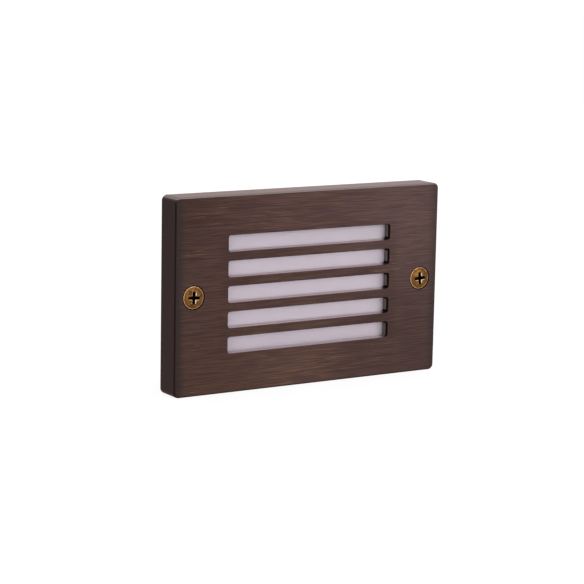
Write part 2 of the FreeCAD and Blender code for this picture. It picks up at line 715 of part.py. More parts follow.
def make_cover_screws():
    """Two raised countersunk screws with cross recesses."""
    body = new_body("cover_screws")
    rim_top = FACE - mm.head_drop
    rim_bottom = rim_top - mm.head_rim
    neck = rim_bottom - mm.head_cone
    tip = rim_top - mm.screw_length
    dome = [(mm.head_radius * out, rim_top + mm.head_dome * up) for out, up in DOME]
    profile = [
        (0, rim_top + mm.head_dome),
        *dome,
        (mm.head_radius, rim_top - mm.head_rim / 3),
        (mm.head_radius, rim_bottom),
        (mm.screw_radius, neck),
        (mm.screw_radius, tip + mm.screw_radius / 2),
        (mm.screw_radius / 2, tip),
        (0, tip),
    ]
    screw = add_turned(body, "screw", profile)
    cross = polygon(cross_points(mm.cross_reach, mm.cross_width / 2))
    top = rim_top + mm.head_dome
    recess = cut_slab(body, "recess", top - mm.cross_depth, top, cross)
    recess.setExpression("TaperAngle", (-mm.cross_taper).formula)
    repeat(body, "screws", [screw, recess], across=(SCREW_SPAN, 2))
    move(body, -SCREW_SPAN / 2)


def make_screw_retainers():
    """Two washers in the posts that keep the cover screws from falling out."""
    body = new_body("screw_retainers")
    back = FLANGE_FRONT + mm.head_drop
    outer = two_discs(RETAINER_RADIUS, SCREW_SPAN)
    inner = two_discs(mm.screw_radius + mm.thread_gap, SCREW_SPAN)
    add_slab(body, "washers", back, back + mm.retainer_thickness, *outer, *inner)


# --- housing ---------------------------------------------------------------------------------------


def make_housing():
    """Cast tub with a flange, bosses for the inserts, pillars for the boards and cooling ribs."""
    body = new_body("housing")
    tub_outline = box(TUB_WIDTH, TUB_HEIGHT, mm.tub_corner)
    tub = add_slab(body, "tub", TUB_BACK, LIP, tub_outline)
    doc.recompute()
    round_edges(body, "back_edge", tub, edges_at(tub, TUB_BACK), mm.tub_back_edge)
    flange_outline = box(FLANGE_WIDTH, FLANGE_HEIGHT, mm.cover_corner)
    add_slab(body, "flange", FLANGE_BACK, FLANGE_FRONT, flange_outline)
    insert_bosses = two_discs(INSERT_BOSS_RADIUS, SCREW_SPAN)
    add_slab(body, "insert_bosses", -mm.insert_boss_reach, FLANGE_FRONT, *insert_bosses)

    rib_length = TUB_WIDTH - 2 * mm.rib_inset
    for number in range(RIBS_EACH_SIDE):
        height = mm.rib_start + number * mm.rib_pitch
        ribs = [box(rib_length, mm.rib_width, mm.rib_width / 3, z=side * height) for side in (-1, 1)]
        add_slab(body, f"ribs_{number + 1}", TUB_BACK - mm.rib_height, TUB_INSIDE, *ribs)

    cavity = box(TUB_INNER_WIDTH, TUB_INNER_HEIGHT, TUB_INNER_CORNER)
    cut_slab(body, "cavity", TUB_INSIDE, LIP, cavity)
    pillars = four_discs(mm.pillar_radius, PILLAR_SPAN, PILLAR_RISE)
    add_slab(body, "pillars", TUB_INSIDE, SPREADER_BACK, *pillars)
    bosses = four_discs(mm.driver_boss_radius, mm.driver_boss_span, mm.driver_boss_rise)
    add_slab(body, "driver_bosses", TUB_INSIDE, DRIVER_BACK, *bosses)

    insert_holes = two_discs(INSERT_RADIUS, SCREW_SPAN)
    cut_slab(body, "insert_holes", -mm.insert_boss_reach, FLANGE_FRONT, *insert_holes)
    wall_holes = four_discs(mm.wall_hole_radius, WALL_HOLE_SPAN, WALL_HOLE_RISE)
    cut_slab(body, "wall_holes", FLANGE_BACK, FLANGE_FRONT, *wall_holes)
    pillar_hole_end = SPREADER_BACK - mm.board_screw_reach - CLEAR
    pillar_holes = four_discs(mm.board_screw_radius + mm.thread_gap, PILLAR_SPAN, PILLAR_RISE)
    cut_slab(body, "pillar_threads", pillar_hole_end, SPREADER_BACK, *pillar_holes)
    boss_hole_end = DRIVER_BACK - mm.driver_screw_reach - CLEAR
    boss_thread = mm.small_screw_radius + mm.thread_gap
    boss_holes = four_discs(boss_thread, mm.driver_boss_span, mm.driver_boss_rise)
    cut_slab(body, "boss_threads", boss_hole_end, DRIVER_BACK, *boss_holes)

    gland_hole = disc(GLAND_THREAD + mm.slide_gap, mm.gland_place)
    cut_slab(body, "gland_hole", TUB_BACK, TUB_INSIDE, gland_hole)
    recess = box(mm.recess_width, mm.recess_height, mm.tub_wall, x=-mm.selector_place)
    cut_slab(body, "selector_recess", TUB_BACK, TUB_BACK + mm.recess_depth, recess)
    cut_slab(body, "selector_window", TUB_BACK, TUB_INSIDE, selector_window())


def selector_window():
    """Outline of the opening that the selector's stem slides in."""
    width = mm.stem_width + 2 * mm.selector_travel + 2 * mm.slide_gap
    height = mm.stem_height + 2 * mm.slide_gap
    return box(width, height, mm.slide_gap, x=-mm.selector_place)


def make_threaded_inserts():
    """Two brass bushes that the cover screws turn into."""
    body = new_body("threaded_inserts")
    outer = two_discs(INSERT_RADIUS, SCREW_SPAN)
    inner = two_discs(INSERT_BORE, SCREW_SPAN)
    add_slab(body, "bushes", -mm.insert_boss_reach, FLANGE_FRONT, *outer, *inner)


def make_housing_seal():
    """Silicone ring between the tub's lip and the cover's face."""
    body = new_body("housing_seal")
    outer = box(TUB_WIDTH, TUB_HEIGHT, mm.tub_corner)
    inner = box(TUB_INNER_WIDTH, TUB_INNER_HEIGHT, TUB_INNER_CORNER)
    add_slab(body, "ring", LIP, FACE_BACK, outer, inner)


def make_wall_gasket():
    """Foam sheet between the flange and the wall, open for the tub, the bosses and the wall screws."""
    body = new_body("wall_gasket")
    outline = box(FLANGE_WIDTH, FLANGE_HEIGHT, mm.cover_corner)
    opening_width = TUB_WIDTH + 2 * mm.slide_gap
    opening_height = TUB_HEIGHT + 2 * mm.slide_gap
    opening = box(opening_width, opening_height, mm.tub_corner + mm.slide_gap)
    add_slab(body, "sheet", as_size(0), FLANGE_BACK, outline, opening)
    boss_holes = two_discs(INSERT_BOSS_RADIUS + mm.slide_gap, SCREW_SPAN)
    cut_slab(body, "boss_holes", as_size(0), FLANGE_BACK, *boss_holes)
    wall_holes = four_discs(mm.wall_hole_radius + mm.slide_gap, WALL_HOLE_SPAN, WALL_HOLE_RISE)
    cut_slab(body, "wall_holes", as_size(0), FLANGE_BACK, *wall_holes)


# --- lamp ------------------------------------------------------------------------------------------


def make_reflector():
    """White funnel from the lamp board to just behind the lens frame's screws."""
    body = new_body("reflector")
    top = FRAME_BACK - mm.small_head_height - mm.reflector_gap
    top_width = TUB_INNER_WIDTH - 2 * mm.reflector_gap
    top_height = TUB_INNER_HEIGHT - 2 * mm.reflector_gap
    corner = TUB_INNER_CORNER - mm.reflector_gap
    wall = 2 * mm.reflector_wall

    foot = [box(FOOT_WIDTH, FOOT_HEIGHT, corner)]
    mouth = [box(top_width, top_height, corner)]
    shell = body.newObject("PartDesign::AdditiveLoft", "shell")
    shell.Profile = sketch_on(body, "foot_outline", "XZ_Plane", foot, LED_FRONT)
    shell.Sections = [sketch_on(body, "mouth_outline", "XZ_Plane", mouth, top)]

    inner_foot = [box(FOOT_WIDTH - wall, FOOT_HEIGHT - wall, corner / 2)]
    inner_mouth = [box(top_width - wall, top_height - wall, corner / 2)]
    hollow = body.newObject("PartDesign::SubtractiveLoft", "hollow")
    hollow.Profile = sketch_on(body, "inner_foot_outline", "XZ_Plane", inner_foot, LED_FRONT)
    hollow.Sections = [sketch_on(body, "inner_mouth_outline", "XZ_Plane", inner_mouth, top)]


def header_window(gap):
    """Outline of the opening for the link between the boards."""
    width = mm.header_width + 2 * gap
    height = mm.header_height + 2 * gap
    return box(width, height, mm.fit_gap, z=-mm.header_drop)


def pin_holes(gap):
    """Outlines of the three holes for the link's pins."""
    radius = mm.pin_radius + gap
    return [disc(radius, place, -mm.header_drop) for place in (-mm.pin_pitch, 0, mm.pin_pitch)]


def make_led_board():
    """Lamp board with holes for its screws and the link's pins."""
    body = new_body("led_board")
    add_slab(body, "board", LED_BACK, LED_FRONT, box(LED_BOARD_WIDTH, LED_BOARD_HEIGHT, mm.lens_corner))
    holes = four_discs(mm.board_screw_radius + mm.screw_gap, PILLAR_SPAN, PILLAR_RISE)
    cut_slab(body, "screw_holes", LED_BACK, LED_FRONT, *holes)
    cut_slab(body, "pin_holes", LED_BACK, LED_FRONT, *pin_holes(mm.thread_gap))


def make_led_chips():
    """Two rows of light chips on the lamp board."""
    body = new_body("led_chips")
    first_x = mm.chip_inset - FOOT_WIDTH / 2
    outline = box(mm.chip_width, mm.chip_height, mm.fit_gap, x=first_x, z=-mm.chip_rise / 2)
    chip = add_slab(body, "chip", LED_FRONT, LED_FRONT + mm.chip_thickness, outline)
    repeat(body, "chips", [chip], across=(CHIP_PITCH, mm.chip_columns), up=(mm.chip_rise, 2))


def make_thermal_pad():
    """Soft pad between the lamp board and the heat spreader."""
    body = new_body("thermal_pad")
    width = LED_BOARD_WIDTH - mm.led_board_gap
    height = LED_BOARD_HEIGHT - mm.led_board_gap
    add_slab(body, "pad", SPREADER_FRONT, LED_BACK, box(width, height, mm.lens_corner))
    holes = four_discs(mm.board_screw_radius + mm.slide_gap, PILLAR_SPAN, PILLAR_RISE)
    cut_slab(body, "screw_holes", SPREADER_FRONT, LED_BACK, *holes)
    cut_slab(body, "header_window", SPREADER_FRONT, LED_BACK, header_window(mm.slide_gap))


def make_heat_spreader():
    """Aluminium plate on the pillars that carries heat to the tub."""
    body = new_body("heat_spreader")
    outline = box(LED_BOARD_WIDTH, LED_BOARD_HEIGHT, mm.lens_corner)
    add_slab(body, "plate", SPREADER_BACK, SPREADER_FRONT, outline)
    holes = four_discs(mm.board_screw_radius + mm.screw_gap, PILLAR_SPAN, PILLAR_RISE)
    cut_slab(body, "screw_holes", SPREADER_BACK, SPREADER_FRONT, *holes)
    cut_slab(body, "header_window", SPREADER_BACK, SPREADER_FRONT, header_window(mm.slide_gap))


def make_led_board_screws():
    """Four screws through the lamp board, the pad and the spreader into the pillars."""
    tip = SPREADER_BACK - mm.board_screw_reach
    head = mm.board_head_radius
    profile = pan_screw_profile(LED_FRONT, tip, head, mm.board_head_height, mm.board_screw_radius, 1)
    crown = LED_FRONT + mm.board_head_height
    make_pan_screws("led_board_screws", profile, crown, head, 1, PILLAR_SPAN, PILLAR_RISE)


# --- driver ----------------------------------------------------------------------------------------


def make_insulation_sheet():
    """Film on the spreader's back, over the driver board."""
    body = new_body("insulation_sheet")
    outline = box(mm.driver_width, mm.driver_height, mm.lens_corner)
    add_slab(body, "film", FILM_BACK, SPREADER_BACK, outline)
    cut_slab(body, "header_window", FILM_BACK, SPREADER_BACK, header_window(mm.slide_gap))


def make_driver_board():
    """Driver board with holes for its screws and the link's pins."""
    body = new_body("driver_board")
    outline = box(mm.driver_width, mm.driver_height, mm.lens_corner)
    add_slab(body, "board", DRIVER_BACK, DRIVER_FRONT, outline)
    holes = four_discs(mm.small_screw_radius + mm.screw_gap, mm.driver_boss_span, mm.driver_boss_rise)
    cut_slab(body, "screw_holes", DRIVER_BACK, DRIVER_FRONT, *holes)
    cut_slab(body, "pin_holes", DRIVER_BACK, DRIVER_FRONT, *pin_holes(mm.thread_gap))


def make_driver_screws():
    """Four small screws that hold the driver board to its bosses."""
    tip = DRIVER_BACK - mm.driver_screw_reach
    head = mm.small_head_radius
    profile = pan_screw_profile(DRIVER_FRONT, tip, head, mm.small_head_height, mm.small_screw_radius, 1)
    crown = DRIVER_FRONT + mm.small_head_height
    make_pan_screws("driver_screws", profile, crown, head, 1, mm.driver_boss_span, mm.driver_boss_rise)


def make_inductor():
    """Square shielded coil with a round core face."""
    body = new_body("inductor")
    low = DRIVER_BACK - mm.coil_height
    outline = box(mm.coil_side, mm.coil_side, mm.lens_corner, -mm.coil_place, mm.parts_row)
    add_slab(body, "shield", low, DRIVER_BACK, outline)
    radii = (mm.core_radius + mm.core_groove, mm.core_radius)
    groove = [disc(radius, -mm.coil_place, mm.parts_row) for radius in radii]
    cut_slab(body, "core_groove", low, low + mm.core_groove, *groove)


def make_capacitors():
    """Two can capacitors on square feet."""
    body = new_body("capacitors")
    foot_back = DRIVER_BACK - mm.can_foot
    foot_outline = box(mm.can_foot_side, mm.can_foot_side, mm.fit_gap, mm.can_pitch, mm.parts_row)
    foot = add_slab(body, "foot", foot_back, DRIVER_BACK, foot_outline)
    can_outline = disc(mm.can_radius, mm.can_pitch, mm.parts_row)
    can = add_slab(body, "can", DRIVER_BACK - mm.can_height, foot_back, can_outline)
    repeat(body, "pair", [foot, can], across=(mm.can_pitch, 2))


def make_driver_chips():
    """Three flat chips in a row."""
    body = new_body("driver_chips")
    low = DRIVER_BACK - mm.small_chip_thickness
    place = -mm.small_chip_place
    outline = box(mm.small_chip_width, mm.small_chip_height, mm.fit_gap, place, -mm.parts_row)
    chip = add_slab(body, "chip", low, DRIVER_BACK, outline)
    repeat(body, "row", [chip], across=(mm.small_chip_pitch, 3))


def poles():
    """Heights of the terminal block's two poles."""
    return [side * mm.pole_pitch / 2 for side in (-1, 1)]


def make_terminal_block():
    """Two-pole block for the supply cable, with its ports towards the gland."""
    body = new_body("terminal_block")
    low = DRIVER_BACK - mm.terminal_depth
    outline = box(mm.terminal_width, mm.terminal_height, mm.fit_gap, mm.terminal_place)
    add_slab(body, "block", low, DRIVER_BACK, outline)
    wells = [disc(mm.well_radius, mm.terminal_place, height) for height in poles()]
    cut_slab(body, "screw_wells", low, low + mm.well_depth, *wells)
    ports = [disc(mm.port_radius, mm.port_drop - DRIVER_BACK, height) for height in poles()]
    side = mm.terminal_place + mm.terminal_width / 2
    pocket = body.newObject("PartDesign::Pocket", "ports")
    pocket.Profile = sketch_on(body, "ports_outline", "YZ_Plane", ports, side)
    pocket.setExpression("Length", mm.port_depth.formula)


def make_terminal_screws():
    """Two slotted clamp screws in the terminal block's wells."""
    body = new_body("terminal_screws")
    tip = DRIVER_BACK - mm.terminal_depth + mm.well_depth
    head = tip - mm.clamp_height
    radius = mm.well_radius - mm.fit_gap
    heads = [disc(radius, mm.terminal_place, height) for height in poles()]
    add_slab(body, "screws", head, tip, *heads)
    length, width = 2 * radius + CLEAR, mm.clamp_slot
    slots = [box(length, width, mm.thread_gap, mm.terminal_place, height) for height in poles()]
    cut_slab(body, "slots", head, head + mm.clamp_slot, *slots)


def make_link_header():
    """Plastic strip that carries the pins from board to board."""
    body = new_body("link_header")
    outline = box(mm.header_width, mm.header_height, mm.fit_gap, z=-mm.header_drop)
    add_slab(body, "strip", DRIVER_FRONT, LED_BACK, outline, *pin_holes(mm.thread_gap))


def make_link_pins():
    """Three pins through both boards."""
    body = new_body("link_pins")
    tail = DRIVER_BACK - mm.pin_radius * 2
    tip = LED_FRONT + mm.pin_radius * 2
    add_slab(body, "pins", tail, tip, *pin_holes(as_size(0)))


# --- colour selector -------------------------------------------------------------------------------


def make_selector_switch():
    """Switch body on the driver board, with a slot for the stem."""
    body = new_body("selector_switch")
    low = DRIVER_BACK - mm.switch_depth
    outline = box(mm.switch_width, mm.switch_height, mm.slide_gap, x=-mm.selector_place)
    add_slab(body, "block", low, DRIVER_BACK, outline)
    cut_slab(body, "stem_slot", low, low + mm.recess_depth, selector_window())


def make_selector_seal():
    """Foam ring between the switch and the tub's back."""
    body = new_body("selector_seal")
    outline = box(mm.switch_width, mm.switch_height, mm.slide_gap, x=-mm.selector_place)
    add_slab(body, "ring", TUB_INSIDE, DRIVER_BACK - mm.switch_depth, outline, selector_window())


def make_selector_knob():
    """Stem with a flat ribbed cap that a fingertip or a screwdriver slides."""
    body = new_body("selector_knob")
    low = DRIVER_BACK - mm.switch_depth
    cap_top = TUB_BACK + mm.recess_depth - mm.thread_gap
    cap_back = cap_top - mm.cap_thickness
    stem_top = low + mm.recess_depth - mm.fit_gap
    stem = box(mm.stem_width, mm.stem_height, mm.fit_gap, x=-mm.selector_place)
    add_slab(body, "stem", cap_top, stem_top, stem)
    cap = box(mm.cap_width, mm.cap_height, mm.slide_gap, x=-mm.selector_place)
    add_slab(body, "cap", cap_back, cap_top, cap)
    first_x = -mm.selector_place - mm.cap_groove_pitch
    groove_outline = box(mm.cap_groove, mm.cap_height + CLEAR, mm.thread_gap, x=first_x)
    groove = cut_slab(body, "groove", cap_back, cap_back + mm.cap_groove_depth, groove_outline)
    repeat(body, "grooves", [groove], across=(mm.cap_groove_pitch, 3))


# --- cable gland -----------------------------------------------------------------------------------


def make_gland_washer():
    """Flat rubber washer between the gland and the tub's back."""
    body = new_body("gland_washer")
    outer = disc(GLAND_FLATS / 2, mm.gland_place)
    inner = disc(GLAND_THREAD + mm.thread_gap, mm.gland_place)
    add_slab(body, "washer", GLAND_HEX_FRONT, TUB_BACK, outer, inner)


def make_gland_body():
    """Threaded tube with a hexagon, and a wider seat for the seal at its outer end."""
    body = new_body("gland_body")
    tail = TUB_BACK + mm.gland_tail
    add_slab(body, "thread", GLAND_HEX_FRONT, tail, disc(GLAND_THREAD, mm.gland_place))
    add_slab(body, "hexagon", GLAND_HEX_BACK, GLAND_HEX_FRONT, hexagon(GLAND_FLATS, mm.gland_place))
    add_slab(body, "collar", GLAND_END, GLAND_HEX_BACK, disc(GLAND_COLLAR, mm.gland_place))
    cut_slab(body, "bore", GLAND_END, tail, disc(GLAND_BORE, mm.gland_place))
    seat = disc(mm.cable_radius + mm.seal_wall + mm.thread_gap, mm.gland_place)
    cut_slab(body, "seal_seat", GLAND_END, GLAND_HEX_BACK, seat)


def make_gland_lock_nut():
    """Thin hexagon nut on the gland's thread inside the tub."""
    body = new_body("gland_lock_nut")
    outline = hexagon(2 * (GLAND_THREAD + mm.lock_nut_wall), mm.gland_place)
    bore = disc(GLAND_THREAD + mm.thread_gap, mm.gland_place)
    add_slab(body, "nut", TUB_INSIDE, TUB_INSIDE + mm.lock_nut_thickness, outline, bore)


def make_gland_seal():
    """Rubber sleeve that the cap squeezes on the cable."""
    body = new_body("gland_seal")
    outer = disc(mm.cable_radius + mm.seal_wall, mm.gland_place)
    inner = disc(mm.cable_radius, mm.gland_place)
    add_slab(body, "sleeve", GLAND_END - mm.seal_lead, GLAND_HEX_BACK, outer, inner)


def make_gland_nut():
    """Domed cap with grip grooves that screws on the gland's collar."""
    body = new_body("gland_nut")
    base = GLAND_HEX_BACK - mm.fit_gap
    radius = GLAND_COLLAR + mm.nut_wall
    thread = GLAND_COLLAR + mm.thread_gap
    mouth = mm.cable_radius + mm.mouth_gap
    shoulder = GLAND_END - mm.seal_lead - mm.fit_gap
    outside = [(radius * out, base - mm.nut_length * along) for out, along in CAP_SHAPE]
    profile = [
        (thread, base),
        (radius, base),
        *outside,
        (mouth, base - mm.nut_length),
        (mouth, shoulder),
        (thread, shoulder),
    ]
    add_turned(body, "cap", profile)
    groove_outline = disc(mm.grip_radius, radius + mm.grip_radius / 2, 0)
    groove = cut_slab(body, "grip", base - mm.grip_length, base, groove_outline)
    ring = body.newObject("PartDesign::PolarPattern", "grips")
    ring.Originals = [groove]
    ring.Axis = (datum(body, "Y_Axis"), [""])
    ring.Angle = 360
    ring.setExpression("Occurrences", mm.grip_count.formula)
    body.Tip = ring
    move(body, mm.gland_place)


# --- build, check and write ------------------------------------------------------------------------


def build_all():
    """Model every part."""
    make_cover_plate()
    make_lens_gasket()
    make_lens()
    make_lens_frame()
    make_lens_frame_screws()
    make_cover_screws()
    make_screw_retainers()
    make_housing()
    make_threaded_inserts()
    make_housing_seal()
    make_wall_gasket()
    make_reflector()
    make_led_board()
    make_led_chips()
    make_thermal_pad()
    make_heat_spreader()
    make_led_board_screws()
    make_insulation_sheet()
    make_driver_board()
    make_driver_screws()
    make_inductor()
    make_capacitors()
    make_driver_chips()
    make_terminal_block()
    make_terminal_screws()
    make_link_header()
    make_link_pins()
    make_selector_switch()
    make_selector_seal()
    make_selector_knob()
    make_gland_washer()
    make_gland_body()
    make_gland_lock_nut()
    make_gland_seal()
    make_gland_nut()
    doc.recompute()


def check_all():
    """Stop if any object failed, any cut removed nothing or any part's shape isn't sound."""
    cuts = ("PartDesign::Pocket", "PartDesign::Groove", "PartDesign::SubtractiveLoft")
    for item in doc.Objects:
        if "Invalid" in item.State or "Error" in item.State:
            raise RuntimeError(f"{item.Name} is {item.State}: {item.getStatusString()}")
        if item.TypeId in cuts and item.Shape.Volume >= item.BaseFeature.Shape.Volume:
            raise RuntimeError(f"{item.Name} cuts nothing from {item.getParentGeoFeatureGroup().Label}")
    for body in BODIES:
        if body.Shape.isNull() or not body.Shape.isValid() or not body.Shape.Solids:
            raise RuntimeError(f"{body.Label} has no sound shape")


def write_all():
    """Write each part's shape to a file of its own."""
    os.makedirs("parts", exist_ok=True)
    for body in BODIES:
        body.Shape.exportStep(os.path.join("parts", body.Label + ".step"))
        print(f"{body.Label}: {len(body.Shape.Solids)} solid(s), {body.Shape.Volume:.1f} mm3")


build_all()
check_all()
write_all()
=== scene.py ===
"""Looks of a recessed step light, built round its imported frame.

Blender's units are metres, while the settings and the named sizes are in millimetres. X points
right as seen from the front, Z up and -Y out of the wall. A level is a distance in front of the
wall's plane, so the cover's screws have the highest level and the cable gland's end the lowest.
"""

import math

import bmesh
import bpy
from mathutils import Matrix, Vector


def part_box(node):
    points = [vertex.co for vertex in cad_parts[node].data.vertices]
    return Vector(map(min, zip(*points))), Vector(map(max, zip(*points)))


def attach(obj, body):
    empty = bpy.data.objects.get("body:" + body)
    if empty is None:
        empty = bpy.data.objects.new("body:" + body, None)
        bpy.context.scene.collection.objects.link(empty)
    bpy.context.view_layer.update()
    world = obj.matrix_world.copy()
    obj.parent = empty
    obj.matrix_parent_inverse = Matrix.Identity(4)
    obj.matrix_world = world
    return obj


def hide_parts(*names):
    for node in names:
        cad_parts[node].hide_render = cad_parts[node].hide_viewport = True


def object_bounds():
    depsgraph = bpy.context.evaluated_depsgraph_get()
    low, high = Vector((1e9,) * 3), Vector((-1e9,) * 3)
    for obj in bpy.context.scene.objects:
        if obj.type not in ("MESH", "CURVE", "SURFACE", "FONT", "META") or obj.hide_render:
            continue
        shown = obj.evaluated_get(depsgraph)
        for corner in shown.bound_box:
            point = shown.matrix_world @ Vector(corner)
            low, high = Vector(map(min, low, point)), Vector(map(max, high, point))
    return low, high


bl_info = {
    "name": "Step light",
    "version": (1, 0, 0),
    "blender": (4, 5, 0),
    "location": "View3D > Sidebar > Step light",
    "description": "Models and finishes the pieces of a recessed step light",
    "category": "Object",
}

MM = 0.001

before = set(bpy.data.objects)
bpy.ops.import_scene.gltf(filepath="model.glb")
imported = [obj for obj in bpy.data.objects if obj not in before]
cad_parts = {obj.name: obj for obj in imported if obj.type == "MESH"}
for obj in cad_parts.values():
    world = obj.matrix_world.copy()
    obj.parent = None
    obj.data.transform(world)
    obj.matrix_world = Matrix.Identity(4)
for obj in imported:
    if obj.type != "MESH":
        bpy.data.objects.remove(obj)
CAD_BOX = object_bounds()


def box_in_mm(node):
    """Lowest and highest corners of a CAD node, in millimetres."""
    return [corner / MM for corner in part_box(node)]


# Places and sizes of the CAD pieces, from their boxes where a box gives them.

COVER_LOW, COVER_HIGH = box_in_mm("cover_plate")
HALF_WIDTH, HALF_HEIGHT = COVER_HIGH.x, COVER_HIGH.z
FACE = -COVER_LOW.y
COVER_EDGE = 0.6
SLOT_END = 33.8
LENS_FACE = -box_in_mm("lens")[0].y

SCREWS_LOW, SCREWS_HIGH = box_in_mm("cover_screws")
HEAD_RADIUS = SCREWS_HIGH.z
HEAD_DROP = 0.1
SCREW_PLACE = SCREWS_HIGH.x - HEAD_RADIUS
SCREW_TOP = -SCREWS_LOW.y
SCREW_TIP = -SCREWS_HIGH.y

CHIPS_LOW, CHIPS_HIGH = box_in_mm("led_chips")
CHIP_WIDTH = 3.5
CHIP_HEIGHT = 2.8
CHIP_COLUMNS = 6
FIRST_CHIP = CHIPS_LOW.x + CHIP_WIDTH / 2
CHIP_PITCH = -2 * FIRST_CHIP / (CHIP_COLUMNS - 1)
CHIP_ROW = CHIPS_HIGH.z - CHIP_HEIGHT / 2

KNOB_LOW, KNOB_HIGH = box_in_mm("selector_knob")
KNOB_MIDDLE = (KNOB_LOW.x + KNOB_HIGH.x) / 2
KNOB_TRAVEL = 2.0
RIB_HEIGHT = 2.0
RECESS_DEPTH = 1.2
RECESS_FLOOR = box_in_mm("housing")[1].y - RIB_HEIGHT - RECESS_DEPTH

# Details of the pieces that are modelled here. A narrowing or a taper is the size of a floor as
# a share of its mouth, and a numeral's relief is half of its thickness.

DOME_RINGS = 12
LATHE_STEPS = 64
THREAD_STEPS = 24
TIP_CHAMFER = 0.5
EDGE_NARROWING = 0.65
RECESS_NARROWING = 0.62
WELD_DISTANCE = 0.002
SMOOTH_ANGLE = math.radians(35)
CHIP_WALL = 0.3
CHIP_WELL_DEPTH = 0.3
CHIP_WELL_TAPER = (0.9, 1.0, 0.87)
CHIP_BEVEL = 0.06
NUMERAL_SIZE = 2.7
NUMERAL_RELIEF = 0.075
NUMERAL_RISE = 3.2

# The stage. Each lamp has a name, a place in metres and a width in metres.

LAMPS = (
    ("key", (0.4, -1.05, 0.2), 0.8),
    ("fill", (-0.8, -0.8, 0.1), 0.8),
    ("back", (0.55, 0.85, 0.45), 0.7),
)
WHITE = (1.0, 1.0, 1.0)
FLOOR_PAINT = (0.9, 0.9, 0.9)
SENSOR_WIDTH = 36.0
NEAREST_SEEN = 10.0


# --- settings --------------------------------------------------------------------------------------


def linear(display):
    """One channel of a colour, from its 8-bit display value to the linear value of a socket."""
    share = display / 255
    return share / 12.92 if share <= 0.04045 else ((share + 0.055) / 1.055) ** 2.4


def tint(name, description, display):
    """A colour setting whose default is given in 8-bit display values."""
    return bpy.props.FloatVectorProperty(
        name=name,
        description=description,
        subtype="COLOR",
        size=3,
        min=0.0,
        max=1.0,
        default=[linear(channel) for channel in display],
    )


def size(name, description, millimetres):
    """A length setting in millimetres."""
    return bpy.props.FloatProperty(
        name=name, description=f"{description}, in millimetres", default=millimetres, min=0.0
    )


def amount(name, description, plain):
    """A setting for a strength or a share, without a unit."""
    return bpy.props.FloatProperty(name=name, description=description, default=plain, min=0.0)


def power(name, description, watts):
    """The power setting of a lamp."""
    return bpy.props.FloatProperty(
        name=name, description=description, default=watts, min=0.0, unit="POWER"
    )


def turn(name, description, degrees):
    """An angle setting whose default is given in degrees."""
    return bpy.props.FloatProperty(
        name=name, description=description, default=math.radians(degrees), subtype="ANGLE"
    )


class StepLightFinish(bpy.types.PropertyGroup):
    """Colours of the materials"""

    patina: tint("Patina", "Brown of the brushed cover", (89, 67, 62))
    patina_dark: tint("Dark patina", "Brown between the brush lines", (67, 50, 47))
    # Painted shade: the duller brown laid over the left, the lower right and the bars of the face.
    patina_dull: tint("Dull patina", "Brown of the bars, the left and the lower right", (58, 42, 38))
    patina_glance: tint("Glancing light", "Tint of light that glances off the cover", (226, 208, 206))
    # Also the tint of the painted highlight on the lower left of the face.
    patina_gold: tint("Worn patina", "Lines where the brass shows through", (122, 93, 70))
    patina_plum: tint("Plum patina", "Cooler patches of the patina", (66, 50, 56))
    patina_cool: tint("Cool patina", "Brown towards the right", (86, 70, 69))
    # Painted sheen: the upper side lighter and greyer, as lit from above.
    patina_top: tint("Top patina", "Grey-brown of the cover's upper side", (90, 84, 84))
    # Painted shade: the ends, darker than the face.
    patina_side: tint("Side patina", "Brown of the cover's ends", (48, 42, 42))
    # Painted shade: the dark line on the curved upright and lower front edges.
    patina_edge: tint("Edge patina", "Dark line along the upright and lower edges", (34, 22, 20))
    # A dark coat, made near black as painted shade in the slots.
    slot_wall: tint("Slot wall", "Dark coat inside the slots", (16, 9, 8))
    # Painted reflection: the bars' upper and lower faces, nearly white as the lens seen in them.
    slot_sill: tint("Slot sill", "Bright upper and lower faces of the bars", (238, 238, 240))
    raw_brass: tint("Raw brass", "Thinly coated inside of the cover", (134, 102, 64))
    screw_brass: tint("Screw brass", "Aged brass of the cover screws", (124, 84, 46))
    screw_olive: tint("Olive stain", "Greenish stains on the cover screws", (92, 68, 26))
    screw_brown: tint("Brown stain", "Brown stains on the cover screws", (78, 42, 22))
    # Painted shade: the near-black lining of the cross recess.
    screw_dirt: tint("Dirt", "Dirt in the recess of the cover screws", (34, 18, 8))
    # Worn brass of the screws, also a painted highlight on the ring round each head.
    screw_bright: tint("Worn brass", "Worn edges of the cover screws", (236, 196, 152))
    opal: tint("Opal", "Lens, unlit", (221, 209, 220))
    silicone: tint("Silicone", "Lens gasket and seals", (98, 91, 86))
    # Painted reflection: the gasket's upward faces in the slots, pale as the lens seen in them.
    silicone_pale: tint("Pale silicone", "Upward faces of the lens gasket, lit by the lens", (196, 184, 192))
    black: tint("Black plastic", "Frame, gland and small parts", (34, 34, 35))
    foam: tint("Foam", "Wall gasket and sleeves", (44, 44, 46))
    cast: tint("Cast aluminium", "Housing", (176, 177, 179))
    plate: tint("Aluminium plate", "Heat spreader and capacitor cans", (196, 198, 200))
    steel: tint("Steel", "Small screws", (190, 190, 188))
    brass: tint("Brass", "Inserts and link pins", (214, 172, 96))
    white: tint("White plastic", "Reflector and chip bodies", (238, 238, 234))
    mask_white: tint("White board", "Lamp board", (232, 233, 230))
    mask_green: tint("Green board", "Driver board", (28, 92, 58))
    tin: tint("Tin", "Soldered pads", (200, 200, 196))
    phosphor: tint("Phosphor", "Face of a light chip", (236, 196, 60))
    pad: tint("Thermal pad", "Pad under the lamp board", (136, 168, 196))
    film: tint("Film", "Insulation over the driver", (196, 122, 34))
    ferrite: tint("Ferrite", "Coil's core", (58, 56, 58))
    terminal: tint("Terminal block", "Block for the supply", (70, 132, 96))
    knob: tint("Knob", "Selector's knob", (226, 226, 221))
    numeral: tint("Numerals", "Raised numbers beside the knob", (214, 215, 216))


